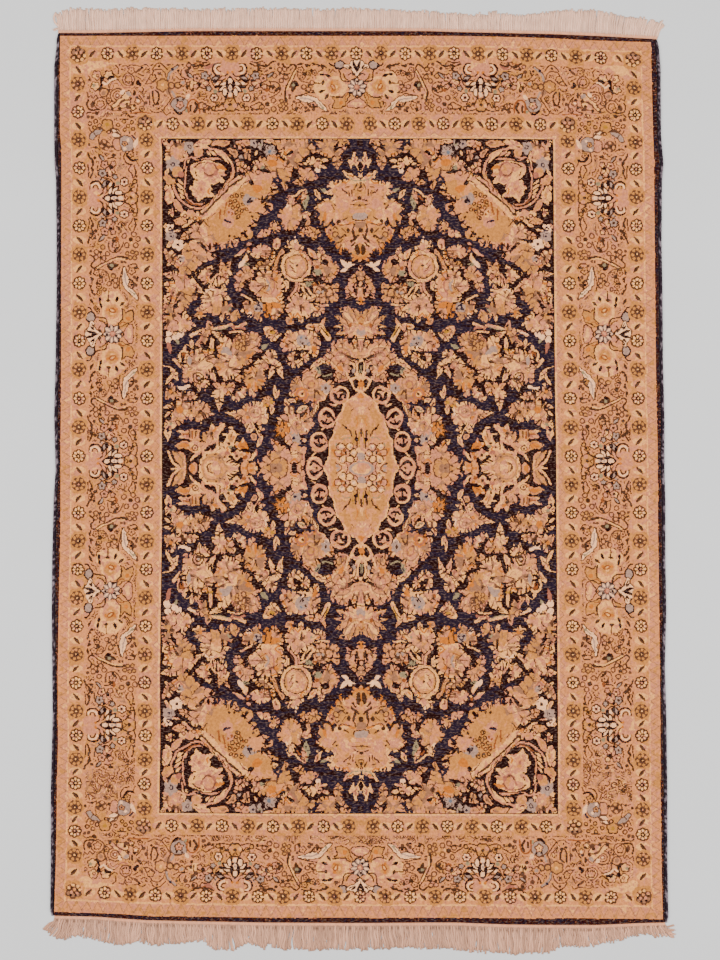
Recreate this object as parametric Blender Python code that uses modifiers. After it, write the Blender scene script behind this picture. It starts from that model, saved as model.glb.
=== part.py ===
"""Knotted silk rug lying flat: the cloth, an overcast cord along each side, a fringe at each end.

Metres, +Z up. The rug's length runs along Y and its underside lies on Z = 0.
"""
import math
import random

import bmesh
import bpy
import numpy
from mathutils import Matrix, Vector

MM = 0.001

# Driving sizes, in millimetres
CLOTH_THICK = 5.0        # foundation and cropped silk pile together
PILE_RIM = 1.2           # how far the pile rounds over at the cloth's rim
CORD_WIDTH = 8.0         # overcast cord along each side
CORD_HEIGHT = 4.6
CORD_END_SHARE = 0.6     # width left where the cord runs out at a corner
PIECE_GAP = 0.3          # between neighbouring pieces
WEB_WIDTH = 7.0          # plain pale web that the warp ends leave
WEB_THICK = 2.2
STRANDS_AN_END = 146
STRAND_ROOT_SHARE = 0.82  # of the spacing between strands
STRAND_TIP_SHARE = 0.58
STRAND_TIP_THICK = 1.2
STRAND_STEPS = 3
REACH_SCATTER = 3.0      # cut ends are uneven by this much each way
LEAN_SCATTER = 0.9
SEED = 11

# Outer edge of the side cords, as the rug lies: distance up the length, left edge, right edge
SIDES = {
    "along": (-895, -780, -640, -485, -380, -270, -165, -40, 20, 130, 245, 390, 490,
              615, 650, 710, 850, 893),
    "left": (-637, -636, -636, -632, -633, -634, -633, -630, -626, -629, -626, -624, -624,
             -625, -628, -629, -629, -624),
    "right": (636, 634, 634, 632, 629, 632, 630, 630, 628, 628, 625, 624, 622,
              623, 626, 621, 620, 616),
}

# Ends of the cloth: distance across, top end, bottom end
ENDS = {
    "across": (-620, -540, -500, -440, -350, -200, 0, 140, 200, 300, 390, 490, 580, 620),
    "top": (918, 918, 919, 920, 922, 922, 922, 922, 920, 918, 916, 912, 907, 905),
    "bottom": (-897, -899, -902, -906, -908, -911, -912, -911, -911, -915, -916, -916,
               -912, -911),
}

# Warp ends beyond the web: distance across, how far they reach, how far the tips lean to +X
TOP_FRINGE = {
    "across": (-620, -595, -300, 60, 100, 237, 280, 330, 430, 485, 545, 577, 615),
    "reach": (35, 43, 40, 39, 35, 31, 37, 31, 46, 46, 38, 36, 29),
    "lean": (-7, -2, 0, 0, 1, 1, 1, 2, 3, 4, 5, 7, 13),
}
BOTTOM_FRINGE = {
    "across": (-628, -615, -595, -575, -545, -490, -449, -437, -380, -320, -305, -270, -230,
               -200, -186, -172, -90, 60, 190, 290, 390, 410, 470, 520, 580, 600, 630),
    "reach": (24, 38, 41, 34, 39, 50, 39, 46, 42, 33, 50, 53, 36,
              48, 34, 47, 50, 46, 49, 54, 51, 38, 38, 29, 18, 22, 24),
    "lean": (-20, -17, -9, -5, -2, -2, -5, 4, 0, -2, 3, 3, 4,
             2, -2, -3, -1, 5, 6, 5, -4, 4, 4, 3, 1, 7, 16),
}


def read_line(table, column, at):
    """Value of one column of a table, at a place on its first column."""
    places = next(iter(table.values()))
    return float(numpy.interp(at, places, table[column]))


def make_material(name, colour, roughness):
    """Plain surface colour for one piece."""
    material = bpy.data.materials.new(name)
    material.use_nodes = True
    shader = material.node_tree.nodes["Principled BSDF"]
    shader.inputs["Base Color"].default_value = (*colour, 1.0)
    shader.inputs["Roughness"].default_value = roughness
    shader.inputs["Metallic"].default_value = 0.0
    return material


def add_object(name, mesh, material, collection):
    """Put a finished mesh in the rug's collection, with its own material."""
    piece = bpy.data.objects.new(name, mesh)
    piece.data.materials.append(material)
    collection.objects.link(piece)
    return piece


def cloth_edge(side, along):
    """X of the cloth's side edge, just inside its cord."""
    inward = 1 if side == "left" else -1
    return read_line(SIDES, side, along) + inward * (CORD_WIDTH + PIECE_GAP)


def cloth_outline():
    """Corner points of the cloth, once round against the clock from the bottom left."""
    alongs = SIDES["along"]
    inner_ends = [x for x in ENDS["across"] if abs(x) < 600]
    bottom_left = (cloth_edge("left", alongs[0]), ENDS["bottom"][0])
    bottom_right = (cloth_edge("right", alongs[0]), ENDS["bottom"][-1])
    top_right = (cloth_edge("right", alongs[-1]), ENDS["top"][-1])
    top_left = (cloth_edge("left", alongs[-1]), ENDS["top"][0])

    points = [bottom_left]
    points += [(x, read_line(ENDS, "bottom", x)) for x in inner_ends]
    points += [bottom_right]
    points += [(cloth_edge("right", y), y) for y in alongs[1:]]
    points += [top_right]
    points += [(x, read_line(ENDS, "top", x)) for x in reversed(inner_ends)]
    points += [top_left]
    points += [(cloth_edge("left", y), y) for y in reversed(alongs[1:])]
    return points


def build_cloth(collection):
    """Flat slab on the rug's own uneven outline, its upper rim rounded over."""
    outline = bpy.data.curves.new("rug_outline", "CURVE")
    outline.dimensions = "2D"
    outline.fill_mode = "BOTH"
    outline.extrude = CLOTH_THICK / 2 * MM
    spline = outline.splines.new("POLY")
    points = cloth_outline()
    spline.points.add(len(points) - 1)
    for point, (x, y) in zip(spline.points, points):
        point.co = (x * MM, y * MM, 0, 1)
    spline.use_cyclic_u = True

    guide = bpy.data.objects.new("rug_outline", outline)
    guide.location.z = CLOTH_THICK / 2 * MM
    collection.objects.link(guide)
    bpy.context.view_layer.update()
    evaluated = guide.evaluated_get(bpy.context.evaluated_depsgraph_get())
    mesh = bpy.data.meshes.new_from_object(evaluated)
    mesh.transform(guide.matrix_world)
    bpy.data.objects.remove(guide)

    shape = bmesh.new()
    shape.from_mesh(mesh)
    bmesh.ops.remove_doubles(shape, verts=shape.verts, dist=0.0001)
    caps = [face for face in shape.faces if abs(face.normal.z) > 0.9]
    inner_edges = {edge for face in caps for edge in face.edges
                   if all(other in caps for other in edge.link_faces)}
    bmesh.ops.dissolve_edges(shape, edges=list(inner_edges), use_verts=False)
    shape.to_mesh(mesh)
    shape.free()

    material = make_material("silk_pile", (0.60, 0.36, 0.24), 0.62)
    cloth = add_object("rug_cloth", mesh, material, collection)
    rim = cloth.vertex_groups.new(name="upper_rim")
    rim.add([v.index for v in mesh.vertices if v.co.z > CLOTH_THICK / 2 * MM], 1.0, "ADD")
    rounding = cloth.modifiers.new("rounded_pile_rim", "BEVEL")
    rounding.limit_method = "VGROUP"
    rounding.vertex_group = rim.name
    rounding.width = PILE_RIM * MM
    rounding.segments = 2
    return cloth


def cord_section():
    """Half round with a flat foot, as wide and high as 1, from its outer foot over the top."""
    arch_steps = 6
    arch = [math.pi * (0.06 + 0.88 * step / arch_steps) for step in range(arch_steps + 1)]
    crown = [(0.5 * math.cos(angle), math.sin(angle)) for angle in arch]
    return [(0.36, 0.0)] + crown + [(-0.36, 0.0)]


def build_selvedge(name, side, material, collection):
    """Overcast cord swept along one side of the rug, thinner where it runs out at the ends."""
    inward = 1 if side == "left" else -1
    corner = 0 if side == "left" else -1
    stations = (ENDS["bottom"][corner], *SIDES["along"], ENDS["top"][corner])
    shape = bmesh.new()

    def section_points(index):
        """The cord's section at one station of its side."""
        at_end = index in (0, len(stations) - 1)
        width = CORD_WIDTH * (CORD_END_SHARE if at_end else 1.0)
        height = CORD_HEIGHT * (CORD_END_SHARE if at_end else 1.0)
        y = stations[index]
        inner = read_line(SIDES, side, y) + inward * CORD_WIDTH
        middle = inner - inward * width / 2
        return [Vector((middle + x * width, y, z * height)) * MM for x, z in cord_section()]

    first = [shape.verts.new(co) for co in section_points(0)]
    end_face = shape.faces.new(first)
    for index in range(1, len(stations)):
        grown = bmesh.ops.extrude_discrete_faces(shape, faces=[end_face])
        new_face = grown["faces"][0]
        for vert, co in zip(new_face.verts, section_points(index)):
            vert.co = co
        end_face = new_face
    start = [vert for vert in shape.verts if abs(vert.co.y - stations[0] * MM) < 1e-6]
    bmesh.ops.contextual_create(shape, geom=start)
    bmesh.ops.recalc_face_normals(shape, faces=shape.faces)

    mesh = bpy.data.meshes.new(name)
    shape.to_mesh(mesh)
    shape.free()
    mesh.shade_smooth()
    mesh.set_sharp_from_angle(angle=math.radians(50))
    return add_object(name, mesh, material, collection)


def build_fringe(name, end, table, material, collection):
    """Narrow web along one end, with a row of strands drawn out of its outer face."""
    outward = 1 if end == "top" else -1
    rng = random.Random(SEED + outward)
    low_x, high_x = table["across"][0], table["across"][-1]
    spacing = (high_x - low_x) / STRANDS_AN_END
    half_root = spacing * STRAND_ROOT_SHARE / 2
    centres = [low_x + spacing * (k + 0.5) for k in range(STRANDS_AN_END)]
    columns = [low_x]
    for centre in centres:
        columns += [centre - half_root, centre + half_root]
    columns.append(high_x)

    def web_lines(x):
        """Y of the web's inner and outer edge."""
        inner = read_line(ENDS, end, x) + outward * PIECE_GAP
        return inner, inner + outward * WEB_WIDTH

    shape = bmesh.new()
    rows = []
    for x in columns:
        inner, outer = web_lines(x)
        corners = ((inner, 0), (outer, 0), (outer, WEB_THICK), (inner, WEB_THICK))
        rows.append([shape.verts.new(Vector((x, y, z)) * MM) for y, z in corners])
    shape.faces.new(rows[0])
    shape.faces.new(rows[-1])
    roots = []
    for index in range(len(rows) - 1):
        here, following = rows[index], rows[index + 1]
        for corner in range(4):
            beside = (corner + 1) % 4
            quad = (here[corner], here[beside], following[beside], following[corner])
            face = shape.faces.new(quad)
            if corner == 1 and index % 2 == 1:
                roots.append(face)
    bmesh.ops.recalc_face_normals(shape, faces=shape.faces)

    for centre, face in zip(centres, roots):
        reach = read_line(table, "reach", centre) + rng.uniform(-REACH_SCATTER, REACH_SCATTER)
        lean = read_line(table, "lean", centre) + rng.uniform(-LEAN_SCATTER, LEAN_SCATTER)
        outer = web_lines(centre)[1]
        for step in range(1, STRAND_STEPS + 1):
            share = step / STRAND_STEPS
            face = bmesh.ops.extrude_discrete_faces(shape, faces=[face])["faces"][0]
            half_width = spacing / 2 * (STRAND_ROOT_SHARE
                                        + (STRAND_TIP_SHARE - STRAND_ROOT_SHARE) * share)
            thick = WEB_THICK + (STRAND_TIP_THICK - WEB_THICK) * share
            middle = Vector((centre + lean * share ** 1.5, outer + outward * reach * share, 0))
            old_middle = face.calc_center_median().copy()
            for vert in face.verts:
                x = middle.x + math.copysign(half_width, vert.co.x - old_middle.x)
                z = thick if vert.co.z > old_middle.z else 0.0
                vert.co = Vector((x, middle.y, z)) * MM

    mesh = bpy.data.meshes.new(name)
    shape.to_mesh(mesh)
    shape.free()
    return add_object(name, mesh, material, collection)


def centre_on_origin(pieces):
    """Slide all the pieces together so the rug's outer box is centred over the origin."""
    bpy.context.view_layer.update()
    corners = [piece.matrix_world @ Vector(corner)
               for piece in pieces for corner in piece.bound_box]
    low = Vector((min(c.x for c in corners), min(c.y for c in corners), 0))
    high = Vector((max(c.x for c in corners), max(c.y for c in corners), 0))
    for piece in pieces:
        piece.data.transform(Matrix.Translation(-(low + high) / 2))


def main():
    for old in list(bpy.data.objects):
        bpy.data.objects.remove(old)
    collection = bpy.data.collections.new("kashmir_silk_rug")
    bpy.context.scene.collection.children.link(collection)

    cord_material = make_material("selvedge_yarn", (0.045, 0.035, 0.05), 0.75)
    warp_material = make_material("warp_yarn", (0.78, 0.62, 0.55), 0.80)
    pieces = [
        build_cloth(collection),
        build_selvedge("selvedge_left", "left", cord_material, collection),
        build_selvedge("selvedge_right", "right", cord_material, collection),
        build_fringe("fringe_top", "top", TOP_FRINGE, warp_material, collection),
        build_fringe("fringe_bottom", "bottom", BOTTOM_FRINGE, warp_material, collection),
    ]
    centre_on_origin(pieces)


main()
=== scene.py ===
"""Kashmir silk rug lying flat on a pale floor, seen from straight above.

The pile is drawn knot by knot, as a weaver charts it: rows of motifs give every knot its yarn, knots
of one yarn that lie together become one flat tile of pile, and the tiles are laid out on the rug's own
uneven outline. Metres, +Z up, the rug's length along Y. The chart counts in squares, u to the right
and d down the rug from its middle.
"""
import math

import bpy
import numpy as np
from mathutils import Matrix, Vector


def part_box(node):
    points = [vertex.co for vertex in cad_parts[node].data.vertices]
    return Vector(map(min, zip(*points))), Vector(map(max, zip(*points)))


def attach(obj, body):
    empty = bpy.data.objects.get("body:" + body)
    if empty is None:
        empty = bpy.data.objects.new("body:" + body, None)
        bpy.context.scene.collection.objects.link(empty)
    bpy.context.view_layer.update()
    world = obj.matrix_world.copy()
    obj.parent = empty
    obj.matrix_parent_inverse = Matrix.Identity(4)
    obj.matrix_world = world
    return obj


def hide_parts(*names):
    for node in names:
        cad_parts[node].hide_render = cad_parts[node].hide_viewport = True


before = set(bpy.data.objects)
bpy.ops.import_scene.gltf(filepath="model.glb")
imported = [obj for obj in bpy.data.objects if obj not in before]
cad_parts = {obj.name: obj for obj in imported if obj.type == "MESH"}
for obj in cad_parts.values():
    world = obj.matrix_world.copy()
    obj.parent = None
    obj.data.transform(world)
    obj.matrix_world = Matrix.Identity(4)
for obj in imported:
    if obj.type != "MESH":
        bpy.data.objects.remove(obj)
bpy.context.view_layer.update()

# Driving sizes, in millimetres
MM = 0.001
KNOT = 1.4               # one knot of pile, the size of the chart's grid
SQUARE = 2.056           # one square that the motifs are charted in
STEP = KNOT / SQUARE
PILE_TOP = 5.0
RIM_TOP = 3.6            # the pile leans outwards and down at the rug's edge
CORD_WIDTH = 8.0
CORD_HEIGHT = 4.6
CORD_END_SHARE = 0.6     # a cord's size at its ends, of its size along the side
PIECE_GAP = 0.3
WEB_WIDTH = 7.0
WEB_THICK = 1.6
TILE_RUN = 16            # most knots that one tile of pile joins each way

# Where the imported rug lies: its cloth's middle was drawn at this place in the part's own layout
DRAWN_MIDDLE = Vector((-0.5, 3.0)) * MM
low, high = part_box("rug_cloth")
SHIFT = (low + high).xy / 2 - DRAWN_MIDDLE

# Outer edge of the side cords: distance up the length, left edge, right edge
SIDES = {
    "along": (-895, -780, -640, -485, -380, -270, -165, -40, 20, 130, 245, 390, 490,
              615, 650, 710, 850, 893),
    "left": (-637, -636, -636, -632, -633, -634, -633, -630, -626, -629, -626, -624, -624,
             -625, -628, -629, -629, -624),
    "right": (636, 634, 634, 632, 629, 632, 630, 630, 628, 628, 625, 624, 622,
              623, 626, 621, 620, 616),
}

# Ends of the cloth: distance across, top end, bottom end
ENDS = {
    "across": (-620, -540, -500, -440, -350, -200, 0, 140, 200, 300, 390, 490, 580, 620),
    "top": (918, 918, 919, 920, 922, 922, 922, 922, 920, 918, 916, 912, 907, 905),
    "bottom": (-897, -899, -902, -906, -908, -911, -912, -911, -911, -915, -916, -916,
               -912, -911),
}

# Where the pale outer guard meets the dark rim, at the sides and at the ends
GUARD_SIDES = {
    "along": (-900, -780, -620, -540, -410, -230, -100, 80, 160, 290, 680, 710, 900),
    "left": (-628, -624, -622, -620, -621, -618, -615, -615, -614, -613.5, -613, -616, -616),
    "right": (624, 621, 619, 619, 618, 616, 614, 613, 610.5, 609, 605.5, 604, 599.5),
}
GUARD_ENDS = {
    "across": (-620, -500, -440, -200, 200, 300, 400, 450, 500, 600),
    "top": (912, 912, 912, 912, 912, 910, 907, 904, 902, 899),
    "bottom": (-889, -893, -897, -901, -901, -902, -902, -902, -903, -903.5),
}

# Warp ends beyond the web: distance across, how far they reach, how far the tips lean to +X
TOP_FRINGE = {
    "across": (-620, -595, -300, 60, 100, 237, 280, 330, 430, 485, 545, 577, 615),
    "reach": (35, 43, 40, 39, 35, 31, 37, 31, 46, 46, 38, 36, 29),
    "lean": (-7, -2, 0, 0, 1, 1, 1, 2, 3, 4, 5, 7, 13),
}
BOTTOM_FRINGE = {
    "across": (-628, -615, -595, -575, -545, -490, -449, -437, -380, -320, -305, -270, -230,
               -200, -186, -172, -90, 60, 190, 290, 390, 410, 470, 520, 580, 600, 630),
    "reach": (24, 38, 41, 34, 39, 50, 39, 46, 42, 33, 50, 53, 36,
              48, 34, 47, 50, 46, 49, 54, 51, 38, 38, 29, 18, 22, 24),
    "lean": (-20, -17, -9, -5, -2, -2, -5, 4, 0, -2, 3, 3, 4,
             2, -2, -3, -1, 5, 6, 5, -4, 4, 4, 3, 1, 7, 16),
}

# Dyed yarns of the pile. The picture's tones are soft, so the dyes are deeper than they look in it
YARNS = {
    "navy": "#1e1221", "dark": "#1d0302", "brown": "#3d200e", "umber": "#563422",
    "tan": "#8d5d41", "gold": "#b57337", "peach": "#c67b49", "pink": "#be7554",
    "rose": "#955540", "rust": "#81431f", "orange": "#b4621f", "cream": "#e19a56",
    "ivory": "#edac7a", "grey": "#9a7765", "blue": "#5d5e64", "ochre": "#a26c1f",
    "sage": "#847051", "maroon": "#2f0605",
}
NUMBER = {name: k for k, name in enumerate(YARNS)}


def linear(code):
    """Linear colour of an sRGB hex code."""
    values = [int(code[k:k + 2], 16) / 255 for k in (1, 3, 5)]
    return [v / 12.92 if v <= 0.04045 else ((v + 0.055) / 1.055) ** 2.4 for v in values]


def read_line(table, column, at):
    """Values of one column of a table, at places on its first column."""
    return np.interp(at, next(iter(table.values())), table[column])


# The chart and its painter

def cloudy(rows, cols, cell, rng):
    """Soft random field between -1 and 1 whose spots are about cell knots wide."""
    coarse = rng.uniform(-1, 1, (int(rows / cell) + 3, int(cols / cell) + 3))
    r, c = np.arange(rows) / cell, np.arange(cols) / cell
    r0, c0 = r.astype(int), c.astype(int)
    fr, fc = (r - r0)[:, None], (c - c0)[None, :]
    upper = coarse[np.ix_(r0, c0)] * (1 - fc) + coarse[np.ix_(r0, c0 + 1)] * fc
    lower = coarse[np.ix_(r0 + 1, c0)] * (1 - fc) + coarse[np.ix_(r0 + 1, c0 + 1)] * fc
    return upper * (1 - fr) + lower * fr


def smooth(points, closed=False, steps=6):
    """Soft curve through a list of points."""
    pts = np.array(points, float)
    n = len(pts)
    if n < 3:
        return pts
    out = []
    for i in range(n if closed else n - 1):
        p1, p2 = pts[i], pts[(i + 1) % n]
        p0 = pts[i - 1] if closed or i else 2 * p1 - p2
        p3 = pts[(i + 2) % n] if closed or i + 2 < n else 2 * p2 - p1
        t = (np.arange(steps) / steps)[:, None]
        out.append(0.5 * (2 * p1 + (p2 - p0) * t + (2 * p0 - 5 * p1 + 4 * p2 - p3) * t ** 2
                          + (3 * p1 - p0 - 3 * p2 + p3) * t ** 3))
    if not closed:
        out.append(pts[-1:])
    return np.concatenate(out)


FINE_WOBBLE, WIDE_WOBBLE = (0.25, 2.0), (0.45, 7)    # squares a knot lies off its place, knots across
ROUGH_CELL = 3.2         # knots across one step of a rough edge
MARGIN = 3               # squares round a shape that the wobble may move it into


class Chart:
    """Grid of knots, each holding the number of its yarn."""

    def __init__(self, left, right, top, bottom, ground, seed):
        rng = np.random.default_rng(seed)
        self.across = np.arange(left + STEP / 2, right, STEP)
        self.down = np.arange(top + STEP / 2, bottom, STEP)
        shape = (len(self.down), len(self.across))
        self.yarn = np.full(shape, NUMBER[ground], np.uint8)

        def moved(places):
            (fine, fine_cell), (wide, wide_cell) = FINE_WOBBLE, WIDE_WOBBLE
            return places + fine * cloudy(*shape, fine_cell, rng) + wide * cloudy(*shape, wide_cell, rng)
        self.x, self.y = moved(self.across[None, :]), moved(self.down[:, None])
        self.rough = (cloudy(*shape, ROUGH_CELL, rng), cloudy(*shape, ROUGH_CELL, rng))

    def paint(self, place, box, yarn, test, rough=0.0):
        """Give a yarn to the knots inside a shape; box and test are in the shape's own squares.

        A place is where on the chart the motif's own middle comes to lie, that middle in the motif's
        squares, its flips across and down, and True where it lies on its side."""
        cx, cy, ox, oy, fx, fy, *turned = place
        if turned:
            box = (box[1] - oy, box[0] - ox, box[3] - oy, box[2] - ox)
        else:
            box = (box[0] - ox, box[1] - oy, box[2] - ox, box[3] - oy)
        xs = sorted((cx + fx * box[0], cx + fx * box[2]))
        ys = sorted((cy + fy * box[1], cy + fy * box[3]))
        c0, c1 = np.searchsorted(self.across, (xs[0] - MARGIN, xs[1] + MARGIN))
        r0, r1 = np.searchsorted(self.down, (ys[0] - MARGIN, ys[1] + MARGIN))
        if c0 >= c1 or r0 >= r1:
            return
        x = (self.x[r0:r1, c0:c1] + rough * self.rough[0][r0:r1, c0:c1] - cx) / fx
        y = (self.y[r0:r1, c0:c1] + rough * self.rough[1][r0:r1, c0:c1] - cy) / fy
        x, y = (y + ox, x + oy) if turned else (x + ox, y + oy)
        self.yarn[r0:r1, c0:c1][test(x, y)] = NUMBER[yarn]


def near_line(points, width):
    """Test for knots that lie under a stroke of that width."""
    def test(x, y):
        hit = np.zeros(x.shape, bool)
        for (ax, ay), (bx, by) in zip(points[:-1], points[1:]):
            ex, ey = bx - ax, by - ay
            t = np.clip(((x - ax) * ex + (y - ay) * ey) / (ex * ex + ey * ey + 1e-9), 0, 1)
            hit |= (x - ax - t * ex) ** 2 + (y - ay - t * ey) ** 2 < (width / 2) ** 2
        return hit
    return test


def inside(points):
    """Test for knots that lie within a closed outline."""
    def test(x, y):
        hit = np.zeros(x.shape, bool)
        last = points[-1]
        for point in points:
            (x0, y0), (x1, y1) = last, point
            last = point
            if y0 != y1:
                hit ^= ((y0 > y) != (y1 > y)) & (x < (x1 - x0) * (y - y0) / (y1 - y0) + x0)
        return hit
    return test


EDGE_WIDTH = 1.05        # squares of outline round a shape
FINEST_LINE = 0.95       # thinnest stroke that the knots can carry
LINE_SHARE = 0.85        # the knots draw a stroke a little fatter than its width
TOOTH = 0.9              # how far the knots step in and out along a big shape's edge
BIG_BLOOM, BIG_LINE, BIG_MASS = 8, 4, 16     # squares from which a shape's edge is stepped
LEAF_FOOT, LEAF_BELLY = 0.18, 0.42           # where a leaf's swelling starts and is widest
FLOWER = (5, 0.3, 0.36, 1.2, 1)              # petals, depth of outer and inner ones, rim, heart


def read_table(table):
    """Shapes of a table of motifs, each with its yarn and numbers.

    Rows end in a semicolon. A row names a shape, its yarn (fill/edge where it is outlined) and its
    squares: dot r x y ..., oval x y rx ry, ring x y r width, bloom x y r petals depth turn, leaf
    width and foot to tip for each leaf, line width and points, mass and its outline, flower r x y
    with the yarns of its rim, petals and heart. After a comma the next shape of that row follows,
    without the width or radius that lines and flowers share.
    """
    for row in table.split(";"):
        if not row.strip():
            continue
        first, *others = row.split(",")
        shape, yarn, *numbers = first.split()
        shared = numbers[:1] if shape in ("line", "flower") else []
        for words in (numbers, *(shared + other.split() for other in others)):
            values = [float(word) for word in words]
            if shape == "flower":
                r, x, y = values
                petals, outer, inner, rim, heart = FLOWER
                rim_yarn, petal_yarn, heart_yarn = yarn.split("/")
                yield "bloom", rim_yarn, [x, y, r, petals, outer]
                yield "bloom", petal_yarn, [x, y, r - rim, petals, inner]
                yield "dot", heart_yarn, [heart, x, y]
            else:
                yield shape, yarn, values


def draw(chart, table, places):
    """Paint the shapes of a table, each on all of its places."""
    for shape, yarn, values in read_table(table):
        fill, _, edge = yarn.partition("/")
        for place in places:
            if edge:
                put(chart, shape, edge, values, place, EDGE_WIDTH)
            put(chart, shape, fill, values, place, 0.0)


def put(chart, shape, yarn, v, place, grow):
    """Paint one shape on one place, grown by an outline's width."""
    if shape == "dot":
        r = v[0] + grow
        for x, y in zip(v[1::2], v[2::2]):
            chart.paint(place, (x - r, y - r, x + r, y + r), yarn,
                        lambda p, q: (p - x) ** 2 + (q - y) ** 2 < r * r)
    elif shape == "oval":
        x, y, rx, ry = v[0], v[1], v[2] + grow, v[3] + grow
        chart.paint(place, (x - rx, y - ry, x + rx, y + ry), yarn,
                    lambda p, q: ((p - x) / rx) ** 2 + ((q - y) / ry) ** 2 < 1)
    elif shape == "ring":
        x, y, r, w = v
        w = max(w * LINE_SHARE, FINEST_LINE)
        chart.paint(place, (x - r - w, y - r - w, x + r + w, y + r + w), yarn,
                    lambda p, q: abs(np.hypot(p - x, q - y) - r) < w / 2 + grow)
    elif shape == "bloom":
        x, y, r, petals, depth = v[:5]
        turn = math.radians(v[5] if len(v) > 5 else 90)
        r += grow

        def petal(p, q):
            wave = np.abs(np.cos((np.arctan2(q - y, p - x) - turn) * petals / 2))
            return np.hypot(p - x, q - y) < r * (1 - depth + depth * wave)
        chart.paint(place, (x - r, y - r, x + r, y + r), yarn, petal, TOOTH if r > BIG_BLOOM else 0.0)
    elif shape == "leaf":
        w = v[0] + 2 * grow
        for x0, y0, x1, y1 in zip(v[1::4], v[2::4], v[3::4], v[4::4]):
            long = math.hypot(x1 - x0, y1 - y0) + grow
            ux, uy = (x1 - x0) / long, (y1 - y0) / long

            def blade(p, q):
                t = ((p - x0) * ux + (q - y0) * uy) / long
                side = abs((q - y0) * ux - (p - x0) * uy)
                a = np.clip(t, 0, 1)
                swelling = LEAF_FOOT + (1 - LEAF_FOOT) * a / LEAF_BELLY
                tapering = (a - LEAF_BELLY) / (1 - LEAF_BELLY)
                bell = np.where(a < LEAF_BELLY, np.sin(np.pi / 2 * swelling), np.cos(np.pi / 2 * tapering))
                return (side < w / 2 * bell) & (t > 0) & (t < 1)
            m = max(w / 2, 1)
            box = (min(x0, x1) - m, min(y0, y1) - m, max(x0, x1) + m, max(y0, y1) + m)
            chart.paint(place, box, yarn, blade)
    elif shape == "line":
        w = max(v[0] * LINE_SHARE + 2 * grow, FINEST_LINE)
        points = smooth(list(zip(v[1::2], v[2::2])))
        box = (*(points.min(0) - w), *(points.max(0) + w))
        chart.paint(place, box, yarn, near_line(points, w), TOOTH / 2 if w > BIG_LINE else 0.0)
    else:
        points = smooth(list(zip(v[0::2], v[1::2])), closed=True)
        box = (*(points.min(0) - grow), *(points.max(0) + grow))
        wide = min(np.ptp(points, axis=0))
        rough = TOOTH * min(1.0, wide / BIG_MASS)
        if grow:
            ring = np.vstack([points, points[:1]])
            chart.paint(place, box, yarn, near_line(ring, 2 * grow), rough)
        chart.paint(place, box, yarn, inside([tuple(p) for p in points]), rough)


# Motifs of the field's quarter, charted in chart squares: the quarter's own columns and rows

FIELD_GROUND = """
line navy 13 352 139 346 150 346 165 340 172 328 176 318 180 312 186 300 188 286 190 277 186 275 180; line
navy 12 286 190 280 200 274 210 264 220 256 230 250 238, 310 186 310 200 312 214 314 224 318 232 322 242,
250 238 262 240 275 236 290 236 300 238 312 243 324 246 334 254 341 262 341 280 341 300 334 310 333 330 331
345 324 352 322 362; line navy 11 250 238 244 245 232 252 218 256 206 262 200 267, 230 252 231 268 231 284
236 296 240 305 243 316 240 322 225 322 210 320 196 322 190 312 192 305, 243 320 262 323 280 326 300 325 312
318 322 310; line navy 12 262 325 262 335 268 342 278 348 285 358 286 372 292 376 298 382 298 374 308 366,
286 372 285 385 283 400 272 405 268 412 272 424 270 436 268 448 263 458; line navy 11 200 322 194 332 182
340 172 348 170 360 168 372, 196 386 208 395 210 405 216 414 224 420 236 425 244 432 250 440 260 446; line
navy 10 265 384 266 396 250 400 238 406 228 402 222 408; line navy 11 210 425 196 424 184 426 176 432 174
445 166 460 164 472; line navy 9 314 410 312 430 309 445 309 460 304 475, 180 372 184 384; line navy 8 358
139 358 158; line navy 4 166 380 165 400;
"""
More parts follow.
